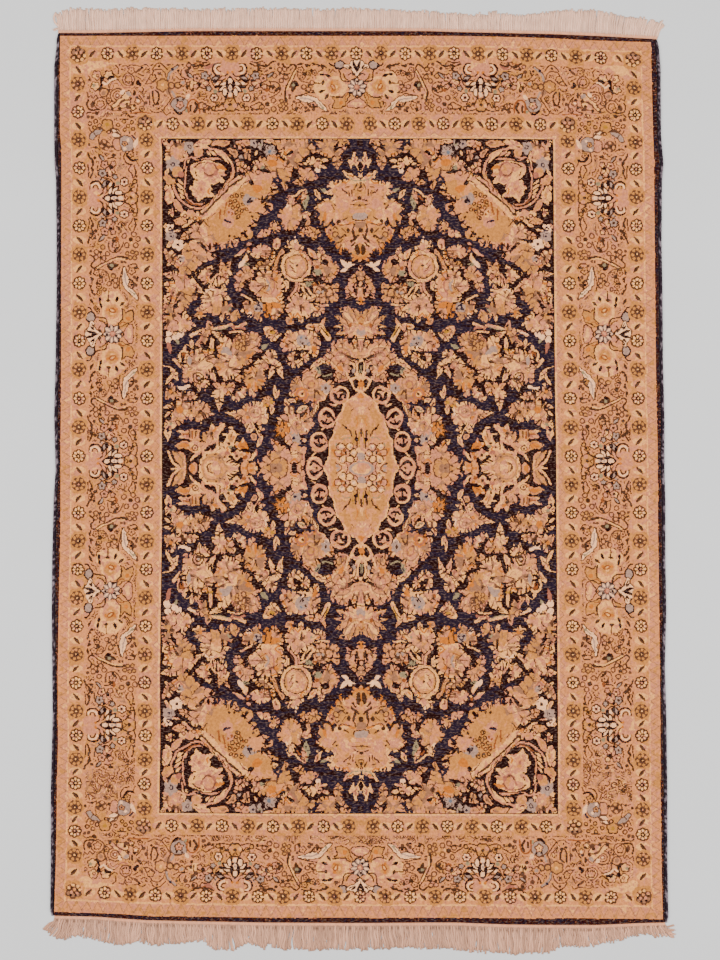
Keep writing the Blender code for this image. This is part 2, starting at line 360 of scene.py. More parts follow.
FIELD_CORNER = """
mass pink 161 141 170 141 182 142 184 158 175 162 163 160 165 150; bloom peach/umber 175 152.5 7.4 8 .12;
dot pink 3 174 151; dot gold 2.2 181 146 166 152; bloom grey 187 147.5 6.4 5 .35 90; ring navy 187 147.5 1.7
1.1; bloom grey 170.5 164.5 7.6 6 .3; ring navy 170.5 164.5 1.9 1.3; mass cream 191 148 197 141 206 139 205
146 199 150; mass pink 200 141 206 139 210 142 207 148 200 149; line dark 1.4 193 144 197 140; line dark 1.2
194 147.5 197.5 147; line brown 1 208 146 211 141; mass gold 210 144 215 140 226 141 228 144 222 147 212
147, 192 149 200 150 200 157 193 157; bloom peach 237 146 5 5 .3; dot rust 1.4 237 145.5; mass peach 240 141
248 141 248 145 243 146; mass gold 224 150 231 150 235 154 234 158 229 157, 240 152 248 150 248 160 243 158;
mass peach 234 160 240 160 241 166 236 169 233 164; dot grey 1.6 238.5 158; bloom pink 243 170.5 5 6 .3;
ring umber 243 171.5 2 1; mass pink 234 168 240 169 238 173 234 172; line dark 2.4 206 146 214 147 222 149
227 153 231 158 233 168 233 174; mass dark 185 160 200 156 216 157 226 164 231 174 226 184 212 198 198 206
186 202 178 190 180 170; line peach 2.2 205 148.6 215 151 225 157 230 167 230 177 222 188 210 200 201 207
192 208 182 203 175 196 171 187 171 180; line peach 2.1 191 163 200 160.5 215 159.5 222 163 227 170 228 178
222 184 213 193 205 200 197 204.5 190 202 184 195 182 187 183 175 185 168; line peach 1.8 200 156 193 158
187 157.5 183 161 182 169; line peach 1.6 190 158 197 162; line pink 2.6 186 161 188 165 186 169; leaf cream
2.6 204 152 210 157 208 151 215 157 213 151 220 158 217 152 224 161 221 155 227 165 175 180 181 185 174 184
181 190 175 189 182 195 177 194 183 199; line rust 1.2 184 200 190 204 198 206; dot gold 5 175 172; dot rose
3 178 175; mass gold 161 178 166 175 172 179 172 184 166 184; leaf cream 3.6 163 176 167 168; leaf cream 10
167 206 167 185; leaf pink 3 162 190 165 184; leaf tan 3 168 200 168 190; dot dark 8.4 169.5 213; bloom pink
169.5 212.5 4.4 6 .2; dot rose 1.7 169.5 212.5; leaf peach 6.5 172 200 181 214; mass gold 248 176 239 180
222 197 204 211 197 219 203 228 206 240 211 250 222 248 232 243 244 240 250 232; mass cream 238 177 248 176
246 184 232 193 212 211 200 222 199 214 214 202 228 187; line brown 6.4 238 178 230 184 220 193 210 202 200
213; line pink 3.6 238 177 230 183 220 192 210 201 201 211; line brown .9 228 183 226 187, 223 187 221 191,
218 192 216 196, 213 197 211 201, 208 201 206 205; line umber 1.2 247 180 242 184 238 189; line umber 1 212
213 209 216, 206 218 205 222; ring rust 234 205 3.2 1.3, 234 196 2.2 1; ring umber 241 196 1.8 1; ring rust
228.5 202 1.8 1; ring umber 237 211 2 1; ring brown 235 218 1.6 1.4; dot rust 1.2 240 205 241 210 232 212
238 215 227 206; dot brown 1.6 240 204; line rust 1.6 224 204 222.5 212, 217 212 217 220; dot pink 4 228
213; mass pink 216 222 232 222 230 228 218 228; bloom pink 182 216 4.6 6 .2; ring brown 183 216.5 1.8 1;
bloom pink 193 218 5.2 6 .2; ring brown 192.5 219 1.8 1; mass gold 171 221 178 218 185 222 178 225; mass
peach 185 212 192 211 190 216 186 217; dot pink 2 196 213 188 222; dot brown 2 198 222; line brown 1.2 200
220 204 225 208 228;
"""
FIELD_TOP = """
bloom grey 252 144 4.6 5 .3, 259 145 5.4 5 .3, 268.5 151.5 6.4 5 .35; dot navy 1.4 252 144; dot sage 1.6 259
144.5; dot blue 1.9 268 152; leaf pink 5 273 141 262 142; leaf pink 3 253 156 255 151; mass gold 256 158 262
156 264 163 258 163, 273 141 290 140 300 138 312 142 330 138 346 141 344 149 338 156 325 157 315 153 305 155
300 160 300 166 292 171 285 173 280 169 265 168 263 161 272 156 284 157 280 151 273 146; mass pink 280 165
286 162 292 163 290 169; dot peach 3 300 145 318 145 331 146; mass pink 303 141 311 142 308 147; leaf dark
3.6 318 151 312 143; leaf navy 5 315 147 310 141; leaf dark 3.4 337 149 335 144; leaf pink 4 337 151 344
146; dot dark 1.8 345 145; line brown 1 286 140 285 143; line tan 1.4 303 152 315 150.5 330 152; line dark
1.8 300 163 304 157 312 156.4 320 159 331 159.4; leaf gold 10 337 154 336 170; leaf gold 12 284 162 283 190;
line gold 10 270 172 284 173; bloom cream 285 155 5.8 5 .25; mass dark 280 163 282 158 287 161 285 164; mass
cream 305 161 310 157.5 318 160 320 165 326 168 314 168.5 308 165; line dark 1 318 167 322 169; leaf cream 4
320 161 328 161; dot ivory 2.6 316 171; leaf cream 2.2 301 163 306 166 303 168 298 168; mass peach 297 169
307 167.5 312 173 316 178 309 181 302 178 297 174; mass gold 292 183 299 178 304 179 300 185 294 185; dot
gold 3 308 176; oval dark 294 174.5 3.6 5.4; line dark 1.6 309 168 312 173 314 176; mass pink 348 160 358
163 368 160 366 168 360 177 356 177 350 168; leaf cream 3 353 163 352 154; line cream 4 342 173 349 174 352
179 358 180; mass cream 312 200 321 198 319 202; mass gold 248 186 256 180 266 179 273 177 277 182 271 186
276 190 273 196 262 200 252 195; mass peach 249 171 262 172 276 173 273 180 258 182 249 180; dot pink 3.6
265 194; leaf cream 5 269 187 276 187; mass pink 250 162 258 162 263 168 256 171 250 169; mass sage 260 166
266 168 259 170; line brown 1.4 240 169 246 174 249 180 252 184; ring umber 256 172.5 2.6 1; dot dark 1.8
266 172; bloom grey 248 200 7.4 7 .25; mass peach 250 200 262 201 270 204 268 212 258 216 250 216 244 210;
line brown 1.2 260 202 264 201, 266 202 271 201; dot brown 1.5 248 213; mass gold 240 215 256 214 254 226
248 228 240 228; dot pink 3 252 222; line pink 2.2 286 196 293 196 297 192 304 189; leaf rust 2.4 294 201
305 189; mass gold 279 209 290 203 300 211 297 226 288 230 280 226 276 217; bloom cream 288 203.5 7 7 .2;
leaf ivory 4 286 207 281 205; dot umber 1 286 204; mass peach 287 206 296 206 297 213 288 214; dot umber 1.4
286 222; leaf sage 6.5 304 190 303 211; leaf peach 5 304 190 300 204; mass cream 296 209 308 213 305 218 297
217; line dark 1.3 299 208 303 211 310 211.6; leaf peach 4 305 220 307 213;
"""
FIELD_UPPER = """
bloom peach 272 228 6.2 5 .25; dot gold 2.2 271 229; mass peach 255 236 260 231 267 231 267 236 258 238;
oval pink 275 244 3.7 5.4; leaf cream 3 276 226 272 221; mass gold 280 222 297 221 294 229 286 231 281 228;
bloom gold 302 232 5.4 5 .35, 312 233 7.4 5 .4; leaf gold 4.4 305 227 307 219; line brown 1.2 303 226 310
226; mass cream 284 246 289 242 295 240 298 244 302 248 299 255 290 255 288 249; leaf ivory 2.6 294 243
293.5 236; leaf cream 3 288 247 286 240; bloom cream 294.5 266 16 18 .05; mass cream 256 291 281 290 280 300
268 304 258 301; line brown 1 283.5 281 282 287 276 292 273 297 268 300 264 298 265 294; mass cream 276 284
287 281 287 290 280 292; mass pink 257 246 266 246 273 252 273 258 262 258 252 257 250 251; line umber 1.1
261 251 270 252; line rust 1.2 260 256 270 258.5; line umber 1 264 254 269 257; leaf cream 4 259 250 257
243; mass tan 255 266 258 261 268 260 273 263 268 269 260 269; line cream 2.4 253 268 262 269 268 264 274
260; dot rose 1.4 263 260; mass peach 240 270 246 266 253 272 250 280 244 281 240 278; leaf cream 5.4 243
263 246 254; leaf sage 4 241 265 249 265; dot rust 1.6 246.5 250; line pink 2.4 247 252 256 256 261 258;
line gold 4 281 252 276 258 275 264 271 271; line brown 1 278 252 273 262; line umber 1 279 258 275 269;
line dark 2 268 268 272 264; leaf pink 4 248 246 246 243; mass peach 310 262 318 258 324 256 333 260 337 268
333 277 328 283 322 281 318 276 311 275 313 268; mass gold 322 261 333 262 335 273 326 277; mass dark 319
262 324 260 328 262 324 266; dot rust 2 316 268; line brown 1 311 261 317 260; mass sage 311 272 318 270 321
275 315 276; leaf dark 3 318 281 322 273; line brown 1 325 276 327 282; leaf pink 8 320 262 318 246; line
cream 1.6 314.6 253 318 248 322 252 324 258; leaf cream 5.4 315 259 306 249; line brown 1 320 262 321 253;
leaf ivory 4 346 268 338 259.6 346 268 350 261 347 268 355 265 346 269 338.6 271.6; dot navy 1 347 268.5;
mass gold 310 285 318 282 328 286 337 283 338 290 336 294 338 300 331 303 316 303 310 297 313 290; dot pink
4 315 298; mass peach 326 290 334 291 333 300 326 300; line umber 1.1 318 290 318 297, 325 290 324 297; line
brown 1 319 292.6 326 292; line dark 1.6 329 289 338 289; line brown 1 314 294 320 294; leaf rust 3 312 286
318 284; line peach 2.8 295 283 294 290 289 296 286 300; line peach 2.2 298 284 297 291 294 297; line pink
2.6 300 284 306 288 311 294; line cream 2.6 301 288 305 294 312 301; line brown 1.1 303 288 306 297; leaf
sage 5.4 304 287 312 281; line cream 2.2 295 281 303 281 310 280; line umber 1 293 286 289 292, 297 286 295
294; line dark 1.8 285 278 290 280; oval dark 295 266 16.4 14.2; oval cream 295 265.6 15.4 13.2; ring tan
295 265.6 12.2 1; oval gold 295 265.6 12.8 10.8; oval peach 296 265.6 11.4 9.4; oval pink 301 265 5.6 6.4;
bloom dark 267.6 286 18 5 .12; bloom cream 267.6 285.6 16.8 5 .12; bloom peach 267.6 285.6 14.2 5 .14; oval
pink 263 282 6.4 6.4; line rust 1.3 260.6 279 258.6 285 260.6 291 266 294; line rose 1.6 266 276.6 272 280.4
273.4 288 269 294; line grey 2.2 265 281 268 286 266 291; line umber 1 262.6 280 264 286 262.6 290; line
brown 1 270 279 275.6 283 277 290; dot orange 2 275 279.6;
"""
FIELD_LEFT = """
bloom ivory 167.5 229 5.4 5 .3; bloom grey 168.5 236.5 6.6 6 .25; bloom ivory 176.5 245 6.4 5 .3; ring navy
167.5 229 1.4 1.5; leaf pink 4.4 165 248 171 240; leaf pink 3.4 171 232 179 230; mass gold 178 237 184 232
191 236 184 240; leaf cream 3 181 227 188 224; dot pink 2 163 226; mass pink 188 228 196 223 204 228 211 230
212 240 200 247 190 239 190 232; mass gold 206 226 222 224 242 222 246 228 240 240 222 244 208 241; mass
peach 205 240 210 236 222 238 232 240 228 247 220 249 214 245 212 251 204 249; dot peach 5 236 231; leaf
rust 3.2 208 250 208.5 243; leaf rust 4 215 249 214 242; line brown 1.6 225 240 227 248; line brown 1.8 231
239 237 239.4; mass peach 228 242 235 240 235 247 230 248; mass gold 182 247 190 241 198 245 199 252 190 255
184 253; dot brown 1.5 197 243; mass peach 189 253 200 249 207 252 214.6 257 206 261.4 194 261; line cream
1.4 203 253 213 256; mass peach 162 250 170 251 176 257 179 262 179 271 170 265 164 258; leaf cream 3 164
251 175 257; line gold 2.2 166 256 175 267; leaf pink 3 165 266 170 262; bloom ivory 180.5 260 5.4 5 .2;
line gold 10 190 262 184 271 179 282 177 292; mass gold 180 262 190 257 199 261 196 268 188 271 182 271;
mass cream 193 273 200 270 205 270 209 265 210.6 272 206 276 210 281 204 285 200 282 196 278; mass pink 202
270 209 267 210 274 205 280 200 281; dot rose 1.6 206 275; leaf pink 8 183 277 161 274; mass pink 166 282
176 280 183 284 181 291 168 291 164 286; mass cream 182 282 188 277 194 281 196 288 186 291; leaf pink 6 191
284 202 293; dot rose .9 188 283; line brown 1.2 182.6 280 183.4 290; line dark 1.6 190 273 194 281 200 288;
line brown 1 167 288 176 288; line pink 3 164 296 165 302; mass gold 176 292 186 288 195 292 194 300 186 304
180 306 176 300; mass tan 179 299 186 299 185 306 180 307; leaf gold 5 223 267 216 265 223 267 219 260 223
268 230 261 223 268 217 272; mass gold 218 264 228 266 227 270 218 270; leaf pink 6 224 273 216 275 224 272
221 284 224 272 230 274; leaf cream 3 225 276 227 286; line peach 2.4 215 275 211 281 209 289, 218 278 217
285 214 290; line cream 2 217 289 219 283 222 284 225 289; mass cream 200 299 205 292 210 289 222 290 227
296 230 300 222 301 228 306 214 309 206 307 202 303; line dark 1.6 217.6 300.6 224 300.6; leaf pink 3.6 244
250 232 257; leaf ivory 4.6 237 268 244 259; mass peach 233 277 240 270 248 272 248 280 240 283, 233 284 242
282 242 288 236 292; line brown 1.3 249 278 243 282 243 289; dot rust 1.2 239 275; mass pink 246 284 254 280
262 281 260 291 250 291; line dark 1.6 239 292 250 297 258 302 262 305; line cream 2.2 240 295 250 300 257
305;
"""
FIELD_MIDDLE = """
mass peach 163 305 168 301 180 302 184 306 180 314 181 321 177 328 174 335 168 329 163 327; mass gold 164
306 171 303 172 313 165 313, 180 301 189 300 188 307 181 312; line dark 1.2 163.5 305 170 300.6; leaf dark
4.4 172 311 176 301; line brown 1.2 171 314 173 319 177 322 177.6 331; dot dark 1.8 164 314.6 181 315; dot
pink 1.2 184.6 313; mass cream 184 313 191 319 191 328 187 332 182 332 177 328 179 322 182 317; mass peach
181 320 189 321 188 328 181 328; leaf cream 4 190 323 195 327; bloom cream 199.5 313 6.6 6 .3; dot gold 2.4
204 312; line dark 1.2 205 308 206.6 313; mass gold 204 303 214 300 226 302 233 307 228 314 221 313 214 316
206 312; mass sage 226 305 231 307 229 312 225 311; mass cream 200 302 210 302 209 311 202 308; leaf cream 4
220 315 221.6 322; bloom gold 233 316 6.8 5 .25; leaf pink 5 231 317 225.6 314; dot pink 1.4 241.4 311.6;
mass gold 242 303 250 302 252 312 246 313; line pink 3.6 232 328 238 327 245 324; line rose 2.4 233 330 238
328 244 329; dot dark 1.4 235 330; line pink 2 229 333 236 332 241 332; dot rose 1.6 232 327; line cream 3.4
212 330 220 327 230 325; line sage 1.2 214 329.6 222 328.6 229 326; line cream 3.4 190 336 197 332 205 330;
line ivory 1.6 189 335.6 196 333; leaf peach 6 211 333 206.6 320; mass gold 211 327 203 329 197 334 200 338
195 344 200 347 206 344 209 338 212 333; mass tan 203 336 208 334 206 342 202 343; line pink 3 212 332 220
334 229 341; line dark 1 216 333 224 335 228 339; line pink 3 214 335 222 339 229 344.6; line dark 3.6 209.6
336 208 341 205.6 347; line dark 4 213.4 337 216.6 341 217 345 214.4 350; mass pink 210 338 213 340 213 348
209 347; dot gold 3 210 351; line ochre 2 208 350 213 350; mass dark 193 337 198 337 195 342, 200 344 205
345 203 350; line brown 1.4 194.6 347 199 346; leaf cream 4 192.6 346 190.6 339; dot ivory 3.2 168 333.5 179
334 168 340.5 175 337.6; leaf sage 3 176 339 178 344.6; leaf rose 4.4 167.6 343 171.6 354; leaf pink 3.6 184
352 185.6 344; line pink 2.4 180 361 178.6 356 180 352 185 350.6 188 353; dot rust 2.8 183.6 355.4; line
dark 1.4 180 352.6 181.6 359 186 361; leaf pink 4 195 352 186 343.6; leaf dark 4 186 345 194 352; mass cream
186 354 194 350 206 350 214 356 217 366 212 374 196 376 186 376 184 366; dot pink 10 203 362; mass pink 190
362 212 362 211 369 194 370; line brown 1 187.6 357 186.6 362 188.6 368; leaf grey 4 190 366 190 356; mass
gold 184 366 187 374 190 382 184 381; line brown 1 190 371 193 369; line brown 2 198.6 353.4 203.6 353.4;
line brown 1.3 204.6 355 205.4 358.4 201 361; dot pink 1.6 201 349.6; mass cream 220 336 232 340 240 345 244
356 240 366 238 376 226 381 219 374 216 362 218 350; mass gold 217 352 222 346 224 360 226 370 220 374 216
366; dot peach 4 219.6 366; mass gold 238 352 252 350 253 362 244 368 238 364; mass pink 228 366 240 366 240
376 228 372; mass cream 222 372 234 374 230 381 222 380; line pink 4 174.6 360 180 365 187 370; line brown 1
178 362 185 368.6; line cream 1.2 163.6 367 170.6 368.6; leaf cream 6 171 369 179.6 381; leaf cream 4 174
374 166.6 386; line dark 1.8 173.6 379 175.6 381.4 179.4 381.6; mass gold 190 373 196 370 206 370 210 375
209 383 206 388 200 386 194 385 190 380; dot peach 9 199.5 378; dot cream 4 207 383.4; leaf pink 4 200.6 384
200.6 392; leaf cream 3.4 206 385 206.4 391; mass peach 184 372 190 374 190 381 186 382; line dark 1.8 212.6
368 215.4 370.4; line brown 1.4 209.6 370 212 375; line dark 3.6 216 373 217.6 377 219.6 380; line dark 3.2
209 379 212 383 213 388; mass cream 212 372 216 376 216 382 211 378; line dark 2.2 222.6 381 226 382.6 230
381; mass peach 213 384 226 383 236 384 234 392 228 396 222 392 214 394 216 388; line rust 1.6 227.6 384 227
388; dot brown 1 225.6 389; mass gold 236 378 248 376 264 378 264 388 256 392 246 390 242 386; leaf dark 5
234.6 381 244 390; dot tan 3 244 382; line dark 2.6 240.6 374 245 375.6 251 375; line dark 1.4 245.6 366
243.6 367.6; mass peach 244 388 258 386 256 396 252 397; leaf pink 3.4 253.4 389 253.6 397; leaf cream 4.4
261 383 267 388; mass peach 231 342 238 335 248 332 257 334 260 341 254 350 244 351 236 350; ring umber 237
339 3.4 1, 237 347 2 1, 243.6 348.6 2.2 1, 243 337.6 2.4 .9; line umber 1 247 341 251 339 255 340; dot gold
2.4 251 335; dot tan .9 248 345; mass peach 250 344 256 338 261 337 260 344 254 350; line brown 1 251 349
257 345 260 340; line pink 1.8 253 343 259 338; mass peach 248 350 258 349 262 352 256 355 250 356; leaf
sage 4.4 261 349 268.6 344.6; mass gold 243 352 254 352 254 360 247 364; dot orange 2 249 356; mass dark 252
356 258 352 264 354 258 360 254 366; leaf pink 3 254 365 258.6 365; dot cream 6.6 271 356.6; dot cream 7
263.4 363.6; mass pink 261 362 268 362 267 370 261 368; line brown 1 266.6 358 269.6 362; leaf cream 6 276.6
360 269.6 379 277 361 283.4 379;
"""
FIELD_INNER = """
mass gold 246 303 256 303 262 312 258 320 250 316 244 312; bloom grey 258 308 5.4 7 .2; ring navy 258.4 308
1.9 1.2; leaf ivory 5 250 312 248.6 318.6; leaf peach 5 258.6 312 259.4 323; mass cream 262 298 280 298 278
306 264 305; mass orange 263 304 279 303 281 312 277 318 274 322 269 318 264 317; line brown 1.5 265 305
266.6 312; line brown 1.2 270.6 304 272 310; mass pink 272 309 279 310 277 319 272 318; line dark 2.6 262
314 263.6 318; line dark 2.4 268.6 314 269.6 320; leaf gold 5 281.6 313 281.4 300; line dark 1.6 284.6 301
283.6 309; bloom pink 298.5 307.5 14.4 9 .12; dot peach 7 300 305; mass gold 285 319 290 318 293 323 286
324; leaf pink 4.4 300 317 300.6 324; leaf dark 3 296 323 296.4 316 303.4 322 303.6 316; dot sage 1.6 310.4
309; line cream 2.4 313 304.6 320 305.6 327 305; mass cream 311 305 318 308 320 314 313 317 311 311; mass
peach 316 308 324 308 322 314; line umber 1 317.6 307.6 318.6 312; mass peach 338 309 344 307 352 309 367
303 367 338 344 337 338 332 342 326 337 319 342 315; mass gold 351 309 367 303 367 326 356 324 350 318; dot
orange 2.4 364.6 320.4; leaf cream/tan 4.6 357 328 336.4 334.6 357 326 334.6 326.6; leaf peach/tan 4.8 357
326 335.4 317; leaf cream/tan 4.8 357 324 339.4 309.6; leaf peach/tan 4.8 357 322 346.4 304.6; leaf gold/tan
4.8 358 322 354.4 301.6; leaf peach 3 345 331 337 333; line umber 1.1 350.6 310 353.4 315 353 321, 357 306
358.4 312; line rust 1.4 357.4 318.8 359.8 316.6 361.8 318.6; dot rust 1.2 359.4 323.8; oval rust 349.4
325.4 1.5 2.3; line umber 1.1 341 317 346 321 348.6 329; dot rose 1.3 346.4 333.6; mass cream 352.6 333 354
327.6 361 325.6 367 326.6 367 338 354 338; oval grey 360.6 332.4 5.4 4; dot pink 1.9 359.6 329.6; line dark
1.6 335 327.6 342 328.6; dot dark 1.8 343 336; line dark 2.4 348 338.6 356 339.6 367 339; line pink 6 321
326 315 326 308 327.4; leaf gold 3.6 320.6 327 324 317; line cream 5.6 320.6 325 324 333 328 340; line dark
1.4 321 327 324 332 327.6 337.4; line ochre 1 322.6 326 328 337; leaf peach 5 320 327 310 334; line dark 1.6
313 330 317 334; mass gold 265 327 271 327 276 331 277 336 271 338 265 334; dot cream 2.6 265.6 329 268.6
336; dot ochre 2.4 272 332; dot dark 1.2 270.6 330.6; leaf cream 5.6 270 341 281 334; line umber 1 276 335
279 334; mass cream 284 336 288 330 300 330 312 332 319 338 319 352 314 357 306 351 294 351 284 352 280 345;
mass peach 281 340 290 340 291 350 283 352; dot rust 1.4 285.4 346.6; mass gold 286 333 295 333 295 340 288
341; dot dark 1.6 295 330.6; line brown 1.8 287.6 341 291.6 343; dot brown .9 294.4 341; dot grey 6 302 341;
dot grey 2 308.6 344.4; ring blue 308.6 344.4 1.6 1; dot dark 1.1 303.4 343 300.4 347.4 304.6 347.6; dot
blue 1.3 301 338; dot brown 1.1 305.4 338.6; dot ivory 1.2 302.4 346.4; mass peach 310 336 318 337 318 348
311 348; line brown 1.1 312 339 314.6 336.6 317 339.4; mass orange 312 347 317 348 315 355; leaf pink 3 316
352 316.4 358; dot cream 4.4 292.6 357.4; dot gold 2.4 293 358; dot cream 4.8 304.6 358; dot pink 3 304 357;
mass cream 287 362 292 361 300 361 303 364 298 369 292 367; mass pink 287 362 296 361 294 366; dot brown 1
298 354.6; line cream 5.6 313 368 317 364 323 361 330 362; leaf sage 5 316 367 321 377; mass dark 320 366
325 367 335 373 328 373 321 370; line sage 1.6 319 374 325 376 332 374; mass gold 293 382 299 377 303 384
330 380 334 386 330 398 318 402 300 394 292 390; mass cream 303 378 313 377 322 380 331 383 331 390 318 390
306 391; mass peach 304 372 309 369 317 371 317 378 304 378; line brown 1.1 305 373 308 371 312 373 316 372;
line umber 1 299 381 297 388; mass tan 292 386 300 386 302 391 294 391; dot ivory 4 327 391; leaf cream 4.6
320 396 328 399; bloom peach 341 355.6 15.4 13 .16; dot pink 8 344 354; mass peach 330 345 336 341 347 340
352 347 344 350; mass gold 333 362 350 362 350 372 338 372; leaf dark 3 335 345 335.4 338 348.6 345 349 338;
dot umber 1 338 366; mass cream 324 356 330 355 332 360 326 360; mass peach 334 376 338 371 346 371 351 379
346 382 336 382; ring umber 339.4 376.6 3 1.1; dot gold 1.4 339.4 376.6; line cream 2 346 371 349 377 352
381; line umber 1 345.6 373 347 380; mass cream 352 341 367 341 367 350 354 351; line brown 1.3 357 341 358
350; line rose 1.6 360.4 342 360 350; mass peach 355 352 367 351 367 360 358 360; line tan 1 357 356 364
356; mass cream 353 366 357 361 367 360 367 378 358 378; leaf dark 5 360.6 362 360.6 376; line sage 1.2
360.6 366 360.6 373; line brown 1.1 356 364 356 372; dot grey 2 353.6 371; mass cream 351 382 354.6 377
360.6 378.4 367 377.6 367 391 361 391.8 356 388.6; mass dark 354 381.6 356.6 379.4 359.4 381 360 384.6 358
388 355.4 385.6; leaf orange 4.4 361.4 379.6 361.4 391.6; dot dark 1.2 361.4 382; line pink 1.4 353 384.6
356.4 389.4 360 391.4;
"""
FIELD_AXIS = """
mass navy 311 205 322 190 330 179.6 345 171 358 168 367 168 367 262 352 263 338 257 322 236 311 222; leaf
pink 4.4 312 190 319 200; leaf sage 3.4 326 193.6 318 188; line dark 1.4 322 196 328 196.4; mass cream 341.4
172.4 347 173.6 352 176 358 178.4 367 176 367 186 352 184 345 182 344 178; line sage 1.4 345.6 176 350 179.4
358 181; mass cream 325.4 186 330.4 181.6 333 182.8 336.4 181 341 181.4 345.6 180.4 358 182 367 182 367 222
340 224 329 220 321 201.6 330.6 197.6 329 195 322.4 193 328.4 190.4; mass peach 331 190 338 184.6 346 184
358 184.6 367 184.6 367 216 340 220 333 208 334 198; mass gold 344 186 352 183.8 367 183.8 367 195 350 196
345 193, 342 213 350 209 351 220 344 221; mass pink 336 202 344 199 347 206 342 212 337 210; mass gold 313.4
208 321 201.4 328 200.4 334 206 333.4 214 331 219.4 329.6 222.4 327.4 226.4 324.6 228.4 321 222.4 317.4 224
316 217.6 312.4 216.6 316.4 212.4; mass pink 317 209 322 203.6 329 203.6 331 210 324 213; leaf orange 3.4
321 222 324.6 212; leaf cream 3 314 208.6 322 204; leaf peach 4 325 227 326.4 215; line brown 1.8 340.6
189.8 342.4 192 345.2 193.6; line brown 1.6 346.8 191.4 347.2 196.4; line brown 1.5 350.2 190 350.2 195.6;
line brown 1.7 355.6 184 352.4 189; line brown 1.6 358 182.8 358 189; ring brown 358 190 1.9 1.1; line umber
1.2 344 187.6 348 186.8; line gold 1.4 353.6 192 356 196.4; line tan 1 336.4 186.6 340.6 185.4; oval brown
358 198.2 2.3 1.6; line brown 1.8 351.4 200.8 354.8 199.4; line brown 1.1 349 204.3 358 204.8 367 204.8; dot
umber 1 357.6 205.6; line pink 1.5 348.6 207 358 207.6 367 207.6; dot tan .9 334.6 197 335 190.6; mass cream
349 209.6 358 209 367 209 367 213 349 213; line brown 1.5 329.4 205.2 332.4 209.4; dot brown .9 333.6 205;
mass grey 352 214 358 213.2 367 213.6 367 219 353 219; line brown 1.3 349.8 216.4 352.2 219.8 358 220.4 364
219.8; mass orange 323.6 231 325.4 226.8 329.4 224.6 334 222.8 340.4 224.4 346 222.4 358 221.6 367 221.6 367
261 359 264 356 260.8 351.6 262 350 258 349 253.6 345.6 252 344 248.6 341.6 249.4 339.4 254.6 335.8 250 334
246 330.4 243.4 327.2 237.4 324.2 235; line pink 2 325.2 234 324.8 230.4 327.2 227 331 225.4 335.6 224.4 340
226.2; mass peach 326.2 231 327.6 227.6 331 225.8 337 225.2 345 225 356 223.4 367 223.4 367 257 358 258
352.4 255.6 347 250.4 343.6 247 338.6 247.6 334.6 243.6 331.6 240.8 329 236; mass gold 330 228 338 226.8 346
228 350 234 350 243 344 246 337 246 331.6 239, 352 222.6 367 222.6 367 229 356 228, 346 250 352 251.6 358
255 367 253 367 262 359 262.6 353 260.6 350 257; mass orange 350 253.6 358 257.4 364 255 359 260.6 354
259.6; dot brown 2 336.6 221.4; line brown 1.5 340.2 219.8 344.4 217.4; line umber 1.3 335.6 223.8 340 225.8
344 224.4 348 223.8; line brown 2.3 330.4 219 328.6 224.4 325.4 228; dot brown 1.4 321.4 221.4 320.6 226.4;
ring rose 328.6 231.8 2 1.4; dot brown 1 329.2 230.6; line brown 1.4 331.8 229.6 334 227.4 336 229.6; ring
umber 333.4 234.8 2.6 1.4; dot brown 1 335.4 236.4; line brown 1.8 336.6 237.4 338.6 238.9 341 237.9 342.8
235.2; line brown 1.6 335.2 242.4 338.6 243.2 341.2 240.4; oval brown 346.7 230.6 1.8 2.7; line umber 1.4
337.2 249 339.6 244.8; line umber 1.2 339.6 229 344 232.4; line rose 1.3 342.6 243 347.6 240.4; leaf cream
2.6 341 249.6 343 243; line brown 2 352.6 224.2 350.9 229.4; oval brown 358 230.4 2 2.5; dot brown 1.4 344.6
236.6; line brown 3.6 351.6 231 352.8 236.4; line brown 3 350 241.6 353 239.4 356.4 236.6; line brown 2.6
350.4 246.2 353.8 243.4; leaf brown 5.6 356.8 256 355.4 242.4; line orange 1.7 359.2 243 359.2 254; dot pink
2.3 358.6 238.4; line pink 1.7 358.6 240.6 353.6 245.4; line brown 1.7 346 253 349.4 255.4, 343 248 341.8
251; mass pink 347.4 159.4 350.8 163.4 351.4 160.4 353 153 355.4 158 355 162 358 162 364 160 367 170 360.4
176.6 357.6 177.4 355 175; leaf cream 3 353 164 352.2 153.4; leaf dark 4.8 351.6 164.6 356.4 176.6; leaf
dark 4.6 358 162.4 358 171; line pink 1.5 348 160.4 350.4 168.4; dot grey 1.2 358 160.8;
"""
